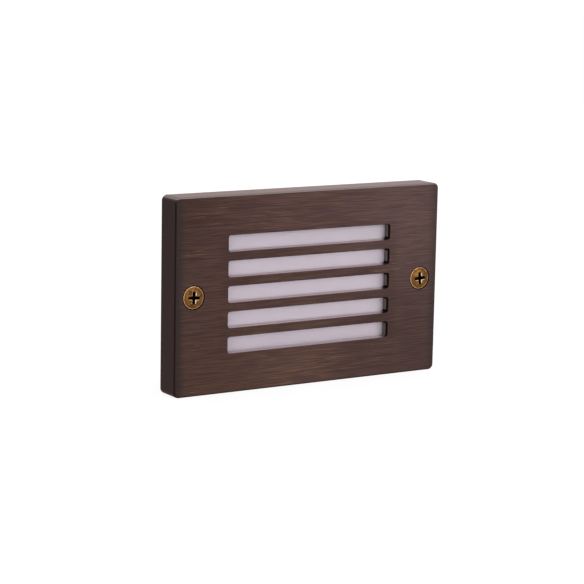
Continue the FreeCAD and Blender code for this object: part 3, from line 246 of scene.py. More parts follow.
class StepLightScrew(bpy.types.PropertyGroup):
    """Sizes of a cover screw"""

    head_edge: size("Head edge", "Height of the head's straight edge", 0.25)
    rim_width: size("Rim width", "Width of the flat ring round the dome", 0.4)
    rim_groove: size("Rim groove", "Depth of the groove inside the ring", 0.1)
    cone_height: size("Cone height", "Height of the cone under the head", 1.95)
    shank_radius: size("Shank radius", "Radius of the plain shank", 2.0)
    shank_end: size("Shank end", "Level at which the thread starts", 3.0)
    core_radius: size("Core radius", "Radius at the foot of the thread", 1.6)
    pitch: size("Pitch", "Distance between the thread's turns", 0.7)
    arm_reach: size("Arm reach", "Reach of a recess arm from the axis", 2.4)
    arm_width: size("Arm width", "Width of a recess arm", 1.35)
    recess_depth: size("Recess depth", "Depth of the cross recess", 2.0)
    edge_break: size("Edge break", "Width of the worn edges of the recess", 0.32)
    edge_depth: size("Edge depth", "Depth of the worn edges of the recess", 0.4)
    left_turn: turn("Left turn", "Turn of the left screw's recess", -3.5)
    right_turn: turn("Right turn", "Turn of the right screw's recess", 3.5)


class StepLightStage(bpy.types.PropertyGroup):
    """Camera, lamps and floor"""

    azimuth: turn("Azimuth", "How far left of the light the camera stands", 31.99)
    elevation: turn("Elevation", "How far above the light the camera stands", 9.98)
    roll: turn("Roll", "Turn of the camera about its own axis", 1.09)
    distance: size("Distance", "From the camera to the point it looks at", 734.0)
    focal_length: size("Focal length", "Focal length of the camera", 126.83)
    aim: bpy.props.FloatVectorProperty(
        name="Aim",
        description="Point that the camera looks at, in millimetres",
        default=(-5.71, -6.78, -1.67),
    )
    key_power: power("Key light", "Large lamp at the front right", 4.2)
    fill_power: power("Fill light", "Large lamp at the front left", 2.4)
    back_power: power("Back light", "Large lamp above and behind", 2.2)
    sky: amount("Sky", "Plain light from all round", 0.5)
    floor_width: size("Floor width", "Side of the floor", 6000.0)
    floor_white: amount("Floor white", "Share of plain white in the floor as seen", 0.7)
    floor_glow: amount("Floor glow", "Strength of the plain white in the floor", 1.25)


SETTINGS = {"finish": StepLightFinish, "screw": StepLightScrew, "stage": StepLightStage}


def settings(group):
    """One group of the scene's settings."""
    return getattr(bpy.context.scene, f"step_light_{group}")


# --- shader nodes ----------------------------------------------------------------------------------


def shaded(colour, share):
    """A colour made darker or lighter."""
    return [channel * share for channel in colour]


class Value:
    """A node's output, with the arithmetic that shader maths is written in."""

    def __init__(self, nodes, socket):
        self.nodes = nodes
        self.socket = socket

    def __add__(self, other):
        return self.nodes.maths("ADD", self, other)

    def __radd__(self, other):
        return self.nodes.maths("ADD", other, self)

    def __sub__(self, other):
        return self.nodes.maths("SUBTRACT", self, other)

    def __rsub__(self, other):
        return self.nodes.maths("SUBTRACT", other, self)

    def __mul__(self, other):
        return self.nodes.maths("MULTIPLY", self, other)

    def __rmul__(self, other):
        return self.nodes.maths("MULTIPLY", other, self)

    def __pow__(self, other):
        return self.nodes.maths("POWER", self, other)

    def __mod__(self, other):
        return self.nodes.maths("FLOORED_MODULO", self, other)

    def __neg__(self):
        return self.nodes.maths("MULTIPLY", self, -1.0)

    def __abs__(self):
        return self.nodes.maths("ABSOLUTE", self)


class Nodes:
    """The nodes of a material or of the world."""

    def __init__(self, owner):
        owner.use_nodes = True
        self.tree = owner.node_tree
        self.tree.nodes.clear()

    def add(self, kind, choices=None, sockets=None, output=0):
        """Adds a node: its settings first, then a value or a link for each socket."""
        node = self.tree.nodes.new(kind)
        for name, choice in (choices or {}).items():
            setattr(node, name, choice)
        for name, value in (sockets or {}).items():
            socket = node.inputs[name]
            if isinstance(value, Value):
                self.tree.links.new(value.socket, socket)
            elif socket.type == "RGBA":
                socket.default_value = (*value, 1.0)
            else:
                socket.default_value = value
        return Value(self, node.outputs[output]) if node.outputs else None

    def maths(self, operation, *terms):
        """One step of arithmetic."""
        return self.add("ShaderNodeMath", {"operation": operation}, dict(enumerate(terms)))

    def step(self, value, start, end):
        """Rises smoothly from 0 to 1 as the value goes from start to end."""
        limits = {"Value": value, "From Min": start, "From Max": end}
        return self.add("ShaderNodeMapRange", {"interpolation_type": "SMOOTHSTEP"}, limits)

    def blend(self, share, first, second):
        """Mixes two colours: share 0 is the first and 1 the second."""
        return self.add("ShaderNodeMix", {"data_type": "RGBA"}, {0: share, 6: first, 7: second}, 2)

    def tones(self, share, colour, first, second):
        """Mixes two tones of one colour. A tone is a number of times as light as the colour."""
        return self.blend(share, shaded(colour, first), shaded(colour, second))


class Surface(Nodes):
    """The nodes of one material. Its place is in millimetres, in the object's own coordinates."""

    def __init__(self, name):
        self.material = bpy.data.materials.new(name)
        super().__init__(self.material)
        metres = self.add("ShaderNodeTexCoord", output="Object")
        self.place = self.vector("MULTIPLY", metres, (1 / MM,) * 3)
        self.normal = self.add("ShaderNodeTexCoord", output="Normal")

    def vector(self, operation, first, second):
        """One step of arithmetic on vectors, axis by axis."""
        return self.add("ShaderNodeVectorMath", {"operation": operation}, {0: first, 1: second})

    def split(self, vector):
        """The three values of a vector."""
        parts = self.add("ShaderNodeSeparateXYZ", sockets={"Vector": vector}).socket.node
        return [Value(self, socket) for socket in parts.outputs]

    def join(self, x, y, z):
        """A vector made of three values."""
        return self.add("ShaderNodeCombineXYZ", sockets={"X": x, "Y": y, "Z": z})

    def choose(self, share, first, second):
        """Mixes two vectors."""
        return self.add("ShaderNodeMix", {"data_type": "VECTOR"}, {0: share, 4: first, 5: second}, 1)

    def noise(self, grain, along=(1, 1, 1), detail=2.0, at=None):
        """Noise with grains of a size in millimetres, drawn out along each axis."""
        spot = self.vector("MULTIPLY", at or self.place, [1 / (grain * length) for length in along])
        return self.add("ShaderNodeTexNoise", sockets={"Vector": spot, "Scale": 1.0, "Detail": detail})

    def cells(self, grain):
        """Distance from the middle of the nearest cell, for cells of a size in millimetres."""
        return self.add("ShaderNodeTexVoronoi", sockets={"Vector": self.place, "Scale": 1 / grain})

    def finish(self, colour, roughness, metallic=0.0, *, height, relief, fixed=None):
        """Closes the material. relief is the depth of the height's bumps in millimetres."""
        bumps = self.add("ShaderNodeBump", sockets={"Height": height, "Distance": relief * MM})
        sockets = {"Base Color": colour, "Roughness": roughness, "Metallic": metallic, "Normal": bumps}
        sockets.update(fixed or {})
        shader = self.add("ShaderNodeBsdfPrincipled", sockets=sockets)
        self.add("ShaderNodeOutputMaterial", sockets={"Surface": shader})
        return self.material


# --- finishes --------------------------------------------------------------------------------------


def brush_run(s, upright):
    """Places along the brush, whose lines sway a little and run upright on the cover's ends."""
    x, y, z = s.split(s.place)
    run = s.choose(upright, s.place, s.join(z, y, x))
    sway = s.noise(30.0) * 0.5
    return s.vector("ADD", run, s.join(0, 0, sway))


def face_patina(s, colours, run, streaks):
    """Brown of the cover's face: brush lines in changing tones, a painted highlight low on the left and
    painted shade on the left, the lower right and the bars.
    """
    x, _, z = s.split(s.place)
    bands = s.step(s.noise(0.8, along=(30, 1, 1), at=run), 0.35, 0.7)
    brown = s.blend(streaks, colours.patina_dark, colours.patina)
    brown = s.blend(bands * 0.22, brown, colours.patina_dark)

    # Each region fades in between two places, in millimetres from the middle of the cover.
    # Painted highlight: a warmer, lighter patch on the lower left, where more worn scratches show too.
    warm_highlight = s.step(z, 12, -34) * s.step(x, 34, -12)
    brown = s.blend(warm_highlight * 0.12, brown, colours.patina_gold)
    plum = s.step(s.noise(8.0, along=(2.2, 1, 1)), 0.5, 0.72)
    brown = s.blend(plum * 0.4, brown, colours.patina_plum)
    right = s.step(x, 5, 40)
    brown = s.blend(right * 0.5, brown, s.tones(streaks, colours.patina_cool, 0.85, 1.15))

    # Painted shade: a duller, darker brown on the left, most towards the top, on the lower right and a
    # little over the bars.
    left = s.step(x, 0, -HALF_WIDTH) * (0.52 + 0.36 * s.step(z, 8, 32))
    low_right = s.step(x, -5, 36) * s.step(z, 22, -22)
    bars = s.step(abs(x), 39, 34) * s.step(abs(z), 24, 20)
    painted_shade = left + low_right * 0.46 + bars * 0.2
    brown = s.blend(painted_shade, brown, s.tones(streaks, colours.patina_dull, 0.8, 1.2))

    scratches = s.step(s.noise(0.24, along=(34, 1, 1), at=run), 0.6, 0.7)
    worn = scratches * s.step(s.noise(13.0, along=(2, 1, 1)) + warm_highlight * 0.12, 0.42, 0.66)
    brown = s.blend(worn * 0.5, brown, colours.patina_gold)
    grit = s.step(s.noise(0.4, along=(2, 1, 1), detail=3.0, at=run), 0.4, 0.7)
    return s.blend(grit * 0.14, brown, colours.patina_dark)


def edge_patina(s, colours, brown, upright, streaks):
    """Adds to the face's brown painted shade on the ends, a painted sheen on the upper side, a painted
    highlight along its front edge and painted shade on the other front edges.
    """
    x, _, z = s.split(s.place)
    _, back, up = s.split(s.normal)
    front = -back

    # Painted shade: the face darkens towards its ends, the left more than the right, and the ends take
    # the darker side brown.
    beside = s.step(abs(x), HALF_WIDTH - 5.0, HALF_WIDTH - 0.5) * (0.9 - 0.4 * s.step(x, -10, 10))
    brown = s.blend(beside, brown, colours.patina_side)
    brown = s.blend(upright, brown, s.tones(streaks, colours.patina_side, 0.8, 1.0))

    # Painted sheen: the upper side lighter and greyer, as lit from above, a little darker towards the
    # left.
    left = s.step(x, 0, -HALF_WIDTH)
    top = s.tones(streaks * (1 - 0.8 * left), colours.patina_top, 0.72, 1.0)
    brown = s.blend(s.step(up, 0.25, 0.7), brown, top)

    # Painted highlight: the curve of the upper front edge is much lighter.
    crest_highlight = s.step(up, 0.15, 0.45) * s.step(up, 0.99, 0.85)
    crest_highlight = crest_highlight * s.step(z, HALF_HEIGHT - COVER_EDGE - 0.2, HALF_HEIGHT - COVER_EDGE)
    brown = s.blend(crest_highlight * 0.9, brown, shaded(colours.patina_top, 2.4))
    # Painted shade: the curved upright and lower front edges are dark.
    rounded_shade = s.step(front, 0.1, 0.3) * s.step(front, 0.985, 0.93) * s.step(up, 0.3, 0.15)
    return s.blend(rounded_shade * 0.9, brown, colours.patina_edge)


def inner_masks(s):
    """Where the slots are, the bars' upper and lower faces in them, and the hollow behind."""
    x, y, z = s.split(s.place)
    _, _, up = s.split(s.normal)
    within = s.step(abs(x), HALF_WIDTH - COVER_EDGE, HALF_WIDTH - COVER_EDGE - 0.4)
    within = within * s.step(abs(z), HALF_HEIGHT - COVER_EDGE, HALF_HEIGHT - COVER_EDGE - 0.4)
    slots = within * s.step(y, 0.1 - FACE, 0.2 - FACE)
    hollow = within * s.step(y, -LENS_FACE - 0.1, -LENS_FACE) * s.step(y, -0.2, -0.6)
    between = s.step(x, SLOT_END - 0.4, SLOT_END - 1.0) * s.step(x, 0.3 - SLOT_END, 0.8 - SLOT_END)
    sill_reflections = s.step(abs(up), 0.5, 0.8) * between * s.step(y, 0.4 - LENS_FACE, -LENS_FACE)
    return slots, sill_reflections, hollow


def brushed_patina(colours):
    """Brass with a brown patina: brushed outside, dark in the slots as coat and painted shade, with a
    painted reflection of the lens on the bars' upper and lower faces, and plain in the hollow.
    """
    s = Surface("Brushed patina")
    sideways, _, _ = s.split(s.normal)
    upright = s.step(abs(sideways), 0.6, 0.85)
    run = brush_run(s, upright)
    lines = s.noise(0.24, along=(42, 1, 1), detail=4.0, at=run)
    streaks = s.step(lines, 0.37, 0.62)
    brown = face_patina(s, colours, run, streaks)
    brown = edge_patina(s, colours, brown, upright, streaks)

    slots, sill_reflections, hollow = inner_masks(s)
    # Painted shade and reflection: the slots' walls near black, and the bars' upper and lower faces
    # nearly white, as the lens seen in them.
    inside = s.blend(sill_reflections, colours.slot_wall, colours.slot_sill)
    raw = s.tones(s.noise(5.0, detail=4.0), colours.raw_brass, 0.72, 1.0)
    colour = s.blend(hollow, s.blend(slots, brown, inside), raw)
    roughness = 0.4 + 0.14 * lines - slots * (0.15 + 0.2 * sill_reflections) + hollow * 0.35
    glance = {"Specular Tint": colours.patina_glance}
    return s.finish(colour, roughness, 1.0, height=lines, relief=0.012, fixed=glance)


def aged_brass(colours):
    """Golden brass of the cover screws, stained, with a duller groove and a bright ring on the outer
    edge, as worn brass and a painted highlight.
    """
    s = Surface("Aged brass")
    x, _, z = s.split(s.place)
    aside = abs(x) - SCREW_PLACE
    inwards = HEAD_RADIUS - (aside * aside + z * z) ** 0.5
    rim = s.step(inwards, 0.55, 0.4)
    groove = s.step(inwards, 0.85, 0.6) * (1 - rim)
    edge = s.step(inwards, 0.2, 0.1)
    olive = s.step(s.noise(1.7, detail=3.0), 0.46, 0.62)
    brown = s.step(s.noise(1.1, detail=4.0), 0.5, 0.68)
    stained = 0.75 - 0.4 * rim
    colour = s.blend(olive * stained, colours.screw_brass, colours.screw_olive)
    colour = s.blend(brown * stained, colour, colours.screw_brown)
    colour = s.blend(groove * 0.6, colour, colours.screw_brown)
    # Worn brass and painted highlight: a thin bright ring along the head's outer edge.
    colour = s.blend(edge * (0.85 - 0.5 * brown), colour, colours.screw_bright)
    scuffs = s.noise(0.25, detail=3.0)
    roughness = 0.32 + 0.2 * scuffs + 0.15 * brown
    return s.finish(colour, roughness, 1.0, height=scuffs, relief=0.01)


def recess_dirt(colours):
    """Near-black brown with a fine grain, lining the cross recess as painted shade."""
    s = Surface("Recess dirt")
    grit = s.noise(0.2, detail=3.0)
    colour = s.tones(grit, colours.screw_dirt, 0.5, 1.0)
    return s.finish(colour, 0.5 + 0.2 * grit, 1.0, height=grit, relief=0.02)


def opal_plastic(colours):
    """Milky sheet that spreads the light."""
    s = Surface("Opal plastic")
    cloud = s.noise(9.0, detail=3.0)
    colour = s.tones(cloud, colours.opal, 0.94, 1.0)
    satin = s.noise(0.12)
    spread = {"Subsurface Weight": 0.9, "Subsurface Radius": (1, 1, 1), "Subsurface Scale": 3 * MM}
    return s.finish(colour, 0.42 + 0.1 * cloud, height=satin, relief=0.002, fixed=spread)


def rubber(name, colour, ledge_reflection=None):
    """Dull silicone with dust in its pores. Upward faces between the slots' ends can take a paler colour,
    a painted reflection of the lens.
    """
    s = Surface(name)
    pores = s.noise(0.3, detail=4.0)
    dust = s.step(s.noise(2.5, detail=3.0), 0.45, 0.75)
    shade = s.tones(dust * 0.25, colour, 1.0, 1.4)
    if ledge_reflection:
        x, _, _ = s.split(s.place)
        _, _, up = s.split(s.normal)
        # Painted reflection: upward faces that show in the slots are paler, as the lens seen in them.
        seen = s.step(up, 0.5, 0.8) * s.step(x, SLOT_END - 0.8, SLOT_END - 1.8)
        shade = s.blend(seen, shade, ledge_reflection)
    return s.finish(shade, 0.65 + 0.15 * pores, height=pores, relief=0.02)


def foam(name, colour):
    """Closed-cell foam: small round cells cut open."""
    s = Surface(name)
    cells = s.cells(0.45)
    shade = s.tones(s.step(cells, 0.1, 0.5), colour, 0.5, 1.25)
    return s.finish(shade, 0.9 - 0.1 * cells, height=cells, relief=0.12)


def moulded(name, colour, roughness=0.42, grain=0.3):
    """Moulded plastic with a spark-eroded skin and faint flow marks."""
    s = Surface(name)
    skin = s.noise(grain, detail=3.0)
    flow = s.step(s.noise(11.0, along=(1, 1, 2.5)), 0.3, 0.7)
    shade = s.tones(flow * 0.5, colour, 1.0, 0.82)
    return s.finish(shade, roughness + 0.12 * skin, height=skin, relief=0.012)


def machined(name, colour):
    """Turned metal with fine tool lines and a few handling marks."""
    s = Surface(name)
    tool = s.noise(0.08, along=(1, 6, 1))
    marks = s.step(s.noise(1.6, detail=4.0), 0.5, 0.8)
    shade = s.tones(marks * 0.5, colour, 1.0, 0.68)
    return s.finish(shade, 0.28 + 0.15 * tool + 0.1 * marks, 1.0, height=tool, relief=0.004)


def cast_aluminium(colours):
    """Cast skin of fine pebbles, milled bright on the faces that look out of the wall."""
    s = Surface("Cast aluminium")
    _, y, _ = s.split(s.place)
    _, back, _ = s.split(s.normal)
    pebbles = s.noise(0.55, detail=3.0)
    blotches = s.step(s.noise(2.5, detail=3.0), 0.35, 0.7)
    skin = s.tones(blotches, colours.cast, 0.79, 0.86)
    milled = s.step(-back, 0.93, 0.98) * s.step(y, 0.5, 0.0)
    rings = {"wave_type": "RINGS", "rings_direction": "Y"}
    sweep = {"Vector": s.place, "Scale": 0.55, "Distortion": 0.6, "Detail": 1.0}
    swirl = s.add("ShaderNodeTexWave", rings, sweep)
    colour = s.blend(milled, skin, s.tones(swirl, colours.cast, 0.92, 1.0))
    roughness = 0.56 - 0.22 * milled + 0.12 * pebbles
    height = pebbles * (1 - milled) + swirl * milled * 0.15
    return s.finish(colour, roughness, 0.9, height=height, relief=0.08)


def aluminium_plate(colours):
    """Rolled plate with straight lines across it."""
    s = Surface("Aluminium plate")
    lines = s.noise(0.15, along=(60, 1, 1), detail=3.0)
    shade = s.tones(lines, colours.plate, 0.78, 1.0)
    return s.finish(shade, 0.3 + 0.15 * lines, 1.0, height=lines, relief=0.004)


def lamp_board(colours):
    """White board: tinned pads round each chip and the edges of the copper under the coating."""
    s = Surface("Lamp board")
    x, _, z = s.split(s.place)
    beside = abs((x - FIRST_CHIP + CHIP_PITCH / 2) % CHIP_PITCH - CHIP_PITCH / 2)
    above = abs(abs(z) - CHIP_ROW)
    pad = s.step(beside, 2.5, 2.35) * s.step(above, 1.3, 1.15)
    gap = s.step(abs(beside - CHIP_PITCH / 2), 0.34, 0.24) * s.step(above, 3.4, 3.3)
    outline = s.step(abs(above - 3.6), 0.24, 0.14)
    trace = s.step(gap + outline, 0.1, 0.9)
    speck = s.noise(0.2, detail=3.0)
    coating = s.tones(trace * 0.35, colours.mask_white, 1.0, 0.7)
    colour = s.blend(pad, coating, colours.tin)
    roughness = 0.34 + 0.1 * speck - 0.05 * pad
    return s.finish(colour, roughness, pad * 0.9, height=speck * 0.2 - trace, relief=0.03)


def driver_board(colours):
    """Green board with copper tracks that show through its coating."""
    s = Surface("Driver board")
    squares = {"distance": "CHEBYCHEV", "feature": "F1"}
    tracks = s.add("ShaderNodeTexVoronoi", squares, {"Vector": s.place, "Scale": 0.28})
    copper = s.step(tracks, 0.3, 0.34)
    weave = s.noise(0.3, detail=3.0)
    colour = s.tones(copper * 0.7, colours.mask_green, 1.0, 1.7)
    return s.finish(colour, 0.32 + 0.1 * weave, height=copper + 0.2 * weave, relief=0.03)


def phosphor(colours):
    """Yellow phosphor under clear silicone."""
    s = Surface("Phosphor")
    grains = s.noise(0.09, detail=3.0)
    colour = s.tones(grains, colours.phosphor, 0.82, 1.0)
    clear = {"Coat Weight": 0.5}
    return s.finish(colour, 0.22 + 0.1 * grains, height=grains, relief=0.004, fixed=clear)


def thermal_pad(colours):
    """Soft blue pad with a glass weave."""
    s = Surface("Thermal pad")
    x, _, z = s.split(s.place)
    weave = abs(x % 1.0 - 0.5) * abs(z % 1.0 - 0.5)
    colour = s.tones(s.step(weave, 0.0, 0.2), colours.pad, 0.82, 1.0)
    return s.finish(colour, 0.75, height=weave, relief=0.05)


def insulation_film(colours):
    """Thin amber film, glossy, with a few creases."""
    s = Surface("Insulation film")
    crease = s.noise(6.0, along=(3, 1, 1), detail=3.0)
    colour = s.tones(crease, colours.film, 0.8, 1.0)
    return s.finish(colour, 0.16 + 0.1 * crease, height=crease, relief=0.06)


# --- modelling -------------------------------------------------------------------------------------


def coat(material, *nodes):
    """Gives CAD nodes a material in all their slots."""
    for node in nodes:
        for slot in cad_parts[node].material_slots:
            slot.material = material


def deselect():
    """Leaves nothing selected, so that an operator acts on the new piece alone."""
    bpy.ops.object.select_all(action="DESELECT")


def take(piece):
    """Makes a piece the one that is selected and active."""
    deselect()
    piece.select_set(True)
    bpy.context.view_layer.objects.active = piece


def pick_faces(piece, test):
    """In edit mode, selects the faces whose normal passes the test."""
    bpy.ops.mesh.select_mode(type="FACE")
    bpy.ops.mesh.select_all(action="DESELECT")
    mesh = bmesh.from_edit_mesh(piece.data)
    for face in mesh.faces:
        face.select_set(test(face.normal))
    bmesh.update_edit_mesh(piece.data)


def apply_modifier(piece, kind, **choices):
    """Adds a modifier to a piece and applies it."""
    take(piece)
    modifier = piece.modifiers.new(kind.title(), kind)
    for name, choice in choices.items():
        setattr(modifier, name, choice)
    bpy.ops.object.modifier_apply(modifier=modifier.name)


def settle(piece, place):
    """Turns and moves a piece to its place and leaves the place in its mesh."""
    take(piece)
    piece.matrix_world = place
    bpy.ops.object.transform_apply(location=True, rotation=True, scale=True)


def copy_of(piece, name):
    """A copy of a piece with a mesh of its own."""
    copied = piece.copy()
    copied.data = piece.data.copy()
    copied.name = name
    bpy.context.collection.objects.link(copied)
    return copied


def hand_over(piece, body, slot, *nodes):
    """Lets a finished piece ride on a body in the place of CAD nodes."""
    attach(piece, body)
    if nodes:
        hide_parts(*nodes)


def weld():
    """Merges doubled points, closes holes, turns the faces outwards and leaves edit mode."""
    bpy.ops.mesh.select_all(action="SELECT")
    bpy.ops.mesh.remove_doubles(threshold=WELD_DISTANCE * MM)
    bpy.ops.mesh.fill_holes(sides=0)
    bpy.ops.mesh.select_all(action="SELECT")
    bpy.ops.mesh.normals_make_consistent(inside=False)
    bpy.ops.object.mode_set(mode="OBJECT")


def lathe(name, profile):
    """Turns a profile of (radius, height) points round Z: one vertex is drawn along it, then spun."""
    deselect()
    bpy.ops.mesh.primitive_plane_add(size=MM)
    piece = bpy.context.object
    piece.name = name
    bpy.ops.object.mode_set(mode="EDIT")
    bpy.ops.mesh.merge(type="CENTER")
    radius, height = profile[0]
    bpy.ops.transform.translate(value=(radius * MM, 0, height * MM))
    for next_radius, next_height in profile[1:]:
        stretch = ((next_radius - radius) * MM, 0, (next_height - height) * MM)
        bpy.ops.mesh.extrude_region_move(TRANSFORM_OT_translate={"value": stretch})
        radius, height = next_radius, next_height
    bpy.ops.mesh.select_all(action="SELECT")
    bpy.ops.mesh.spin(steps=LATHE_STEPS, angle=math.tau, center=(0, 0, 0), axis=(0, 0, 1))
    weld()
    return piece


def dome_profile(radius, base):
    """Points of the head's domed top, from its crown out to its foot."""
    rise = SCREW_TOP - base
    ball = (radius**2 + rise**2) / (2 * rise)
    reaches = [radius * ring / DOME_RINGS for ring in range(DOME_RINGS + 1)]
    return [(reach, SCREW_TOP - ball + math.sqrt(ball**2 - reach**2)) for reach in reaches]


def screw_blank(screw):
    """A cover screw without its recess and thread. Its height is the level in the light."""
    rim_top = FACE - HEAD_DROP
    rim_foot = rim_top - screw.head_edge
    dome_radius = HEAD_RADIUS - screw.rim_width
    dome_base = rim_top - screw.rim_groove
    neck = rim_foot - screw.cone_height
    groove = [(dome_radius + 0.1, dome_base + 0.02), (dome_radius + 0.18, rim_top)]
    rim = [
        (HEAD_RADIUS - 0.1, rim_top),
        (HEAD_RADIUS - 0.02, rim_top - 0.05),
        (HEAD_RADIUS, rim_top - 0.12),
        (HEAD_RADIUS, rim_foot),
    ]
    shank = [
        (screw.shank_radius + 0.15, neck + 0.12),
        (screw.shank_radius, neck - 0.1),
        (screw.shank_radius, screw.shank_end),
    ]
    core = [
        (screw.core_radius, screw.shank_end - 0.4),
        (screw.core_radius, SCREW_TIP + TIP_CHAMFER),
        (screw.core_radius - TIP_CHAMFER, SCREW_TIP),
        (0, SCREW_TIP),
    ]
    dome = dome_profile(dome_radius, dome_base)
    return lathe("cover_screw_left", dome + groove + rim + shank + core)


def cross_cutter(width, reach, depth, narrowing, material):
    """A plus sign that narrows downwards, drawn out of the sides of a cube and sunk in the head."""
    deselect()
    above = 0.2
    flare = 1 + (1 - narrowing) * above / depth
    bpy.ops.mesh.primitive_cube_add(size=MM, location=(0, 0, (SCREW_TOP + (above - depth) / 2) * MM))
    cutter = bpy.context.object
    cutter.data.materials.append(material)
    cutter.scale = (width * flare, width * flare, depth + above)
    bpy.ops.object.transform_apply(location=True, rotation=True, scale=True)
    bpy.ops.object.mode_set(mode="EDIT")
    pick_faces(cutter, lambda normal: abs(normal.z) < 0.5)
    arm = (reach - width / 2) * flare * MM
    bpy.ops.mesh.extrude_faces_move(TRANSFORM_OT_shrink_fatten={"value": arm})
    pick_faces(cutter, lambda normal: normal.z < -0.5)
    bpy.ops.transform.resize(value=(narrowing / flare, narrowing / flare, 1))
    bpy.ops.object.mode_set(mode="OBJECT")
    return cutter


def screw_thread(screw):
    """The ridge of the thread: a triangle wound round the core."""
    deselect()
    core_end = SCREW_TIP + TIP_CHAMFER
    length = screw.shank_end - 0.3 - core_end
    turns = int(length / screw.pitch)
    bpy.ops.mesh.primitive_circle_add(vertices=3, radius=screw.pitch * 0.5 * MM, fill_type="NGON")
    ridge = bpy.context.object
    upright = Matrix.Rotation(math.pi / 2, 4, "X") @ Matrix.Rotation(-math.pi / 2, 4, "Z")
    place = Matrix.Translation((screw.core_radius * MM, 0, (core_end + 0.1) * MM))
    flatten = Matrix.Diagonal((0.8, 1, 1, 1))
    settle(ridge, place @ flatten @ upright)
    rise = screw.pitch * MM
    steps = {"steps": THREAD_STEPS, "render_steps": THREAD_STEPS}
    apply_modifier(ridge, "SCREW", axis="Z", angle=math.tau, screw_offset=rise, iterations=turns, **steps)
    bpy.ops.object.mode_set(mode="EDIT")
    weld()
    return ridge


def cut_away(piece, cutter):
    """Cuts a cutter's shape out of a piece and removes the cutter."""
    choices = {"operation": "DIFFERENCE", "solver": "EXACT", "material_mode": "TRANSFER"}
    apply_modifier(piece, "BOOLEAN", object=cutter, **choices)
    bpy.data.objects.remove(cutter)


def cover_screw(screw, brass, worn, dirt):
    """One cover screw, upright on Z: turned, its recess cut with worn edges and its thread wound."""
    piece = screw_blank(screw)
    piece.data.materials.append(brass)
    edge_width = screw.arm_width + 2 * screw.edge_break
    edge_reach = screw.arm_reach + screw.edge_break
    cut_away(piece, cross_cutter(edge_width, edge_reach, screw.edge_depth, EDGE_NARROWING, worn))
    # The recess itself is lined with painted shade.
    sizes = (screw.arm_width, screw.arm_reach, screw.recess_depth)
    cut_away(piece, cross_cutter(*sizes, RECESS_NARROWING, dirt))
    ridge = screw_thread(screw)
    ridge.data.materials.append(brass)
    take(piece)
    ridge.select_set(True)
    bpy.ops.object.join()
    bpy.ops.object.shade_smooth_by_angle(angle=SMOOTH_ANGLE)
    return piece


def light_chip(body, face):
    """A light chip: a white tray with sloping walls, filled with phosphor."""
    deselect()
    depth = CHIPS_HIGH.y - CHIPS_LOW.y
    centre = (CHIPS_HIGH.y + CHIPS_LOW.y) / 2
    bpy.ops.mesh.primitive_cube_add(size=MM, location=(0, centre * MM, 0))
    chip = bpy.context.object
    chip.scale = (CHIP_WIDTH, depth, CHIP_HEIGHT)
    bpy.ops.object.transform_apply(location=True, rotation=True, scale=True)
    chip.data.materials.append(body)
    chip.data.materials.append(face)
    bpy.ops.object.mode_set(mode="EDIT")
    pick_faces(chip, lambda normal: normal.y < -0.5)
    bpy.ops.mesh.inset(thickness=CHIP_WALL * MM)
    bpy.ops.mesh.extrude_region_move(TRANSFORM_OT_translate={"value": (0, CHIP_WELL_DEPTH * MM, 0)})
    bpy.ops.transform.resize(value=CHIP_WELL_TAPER)
    chip.active_material_index = 1
    bpy.ops.object.material_slot_assign()
    bpy.ops.object.mode_set(mode="OBJECT")
    apply_modifier(chip, "BEVEL", width=CHIP_BEVEL * MM, segments=2, limit_method="ANGLE")
    bpy.ops.object.shade_smooth_by_angle(angle=SMOOTH_ANGLE)
    return chip


def numeral(text, x, material):
    """A raised number on the floor of the selector's recess, read from behind the light."""
    deselect()
    bpy.ops.object.text_add()
    letter = bpy.context.object
    letter.name = f"numeral_{text}"
    letter.data.body = text
    letter.data.size = NUMERAL_SIZE * MM
    letter.data.extrude = NUMERAL_RELIEF * MM
    letter.data.align_x = "CENTER"
    letter.data.align_y = "CENTER"
    bpy.ops.object.convert(target="MESH")
    piece = bpy.context.object
    facing_back = Matrix(((-1, 0, 0, 0), (0, 0, 1, 0), (0, 1, 0, 0), (0, 0, 0, 1)))
    place = Vector((x, RECESS_FLOOR + NUMERAL_RELIEF, NUMERAL_RISE))
    settle(piece, Matrix.Translation(place * MM) @ facing_back)
    piece.data.materials.append(material)
    return piece


# --- stage -----------------------------------------------------------------------------------------


def seen_directly(nodes):
    """1 for a ray from the camera, or one that a mirror or a glass sends on, and 0 for the rest."""
    path = nodes.add("ShaderNodeLightPath").socket.node
    rays = [Value(nodes, path.outputs[f"Is {kind} Ray"]) for kind in ("Camera", "Glossy", "Transmission")]
    return nodes.maths("MINIMUM", rays[0] + rays[1] + rays[2], 1.0)


def white_world(stage):
    """A world that looks white and lights the object plainly."""
    world = bpy.data.worlds.new("White room")
    bpy.context.scene.world = world
    nodes = Nodes(world)
    seen = seen_directly(nodes)
    strength = stage.sky + (1 - stage.sky) * seen
    glow = nodes.add("ShaderNodeBackground", sockets={"Color": WHITE, "Strength": strength})
    nodes.add("ShaderNodeOutputWorld", sockets={"Surface": glow})


def pale_floor(stage):
    """A floor that looks white and keeps the object's shadow."""
    deselect()
    bpy.ops.mesh.primitive_plane_add(size=stage.floor_width * MM, location=(0, 0, CAD_BOX[0].z))
    floor = bpy.context.object
    floor.name = "floor"
    material = bpy.data.materials.new("White floor")
    nodes = Nodes(material)
    seen = seen_directly(nodes)
    matt = nodes.add("ShaderNodeBsdfDiffuse", sockets={"Color": FLOOR_PAINT})
    glow = nodes.add("ShaderNodeEmission", sockets={"Color": WHITE, "Strength": stage.floor_glow})
    mix = nodes.add("ShaderNodeMixShader", sockets={0: seen * stage.floor_white, 1: matt, 2: glow})
    nodes.add("ShaderNodeOutputMaterial", sockets={"Surface": mix})
    floor.data.materials.append(material)


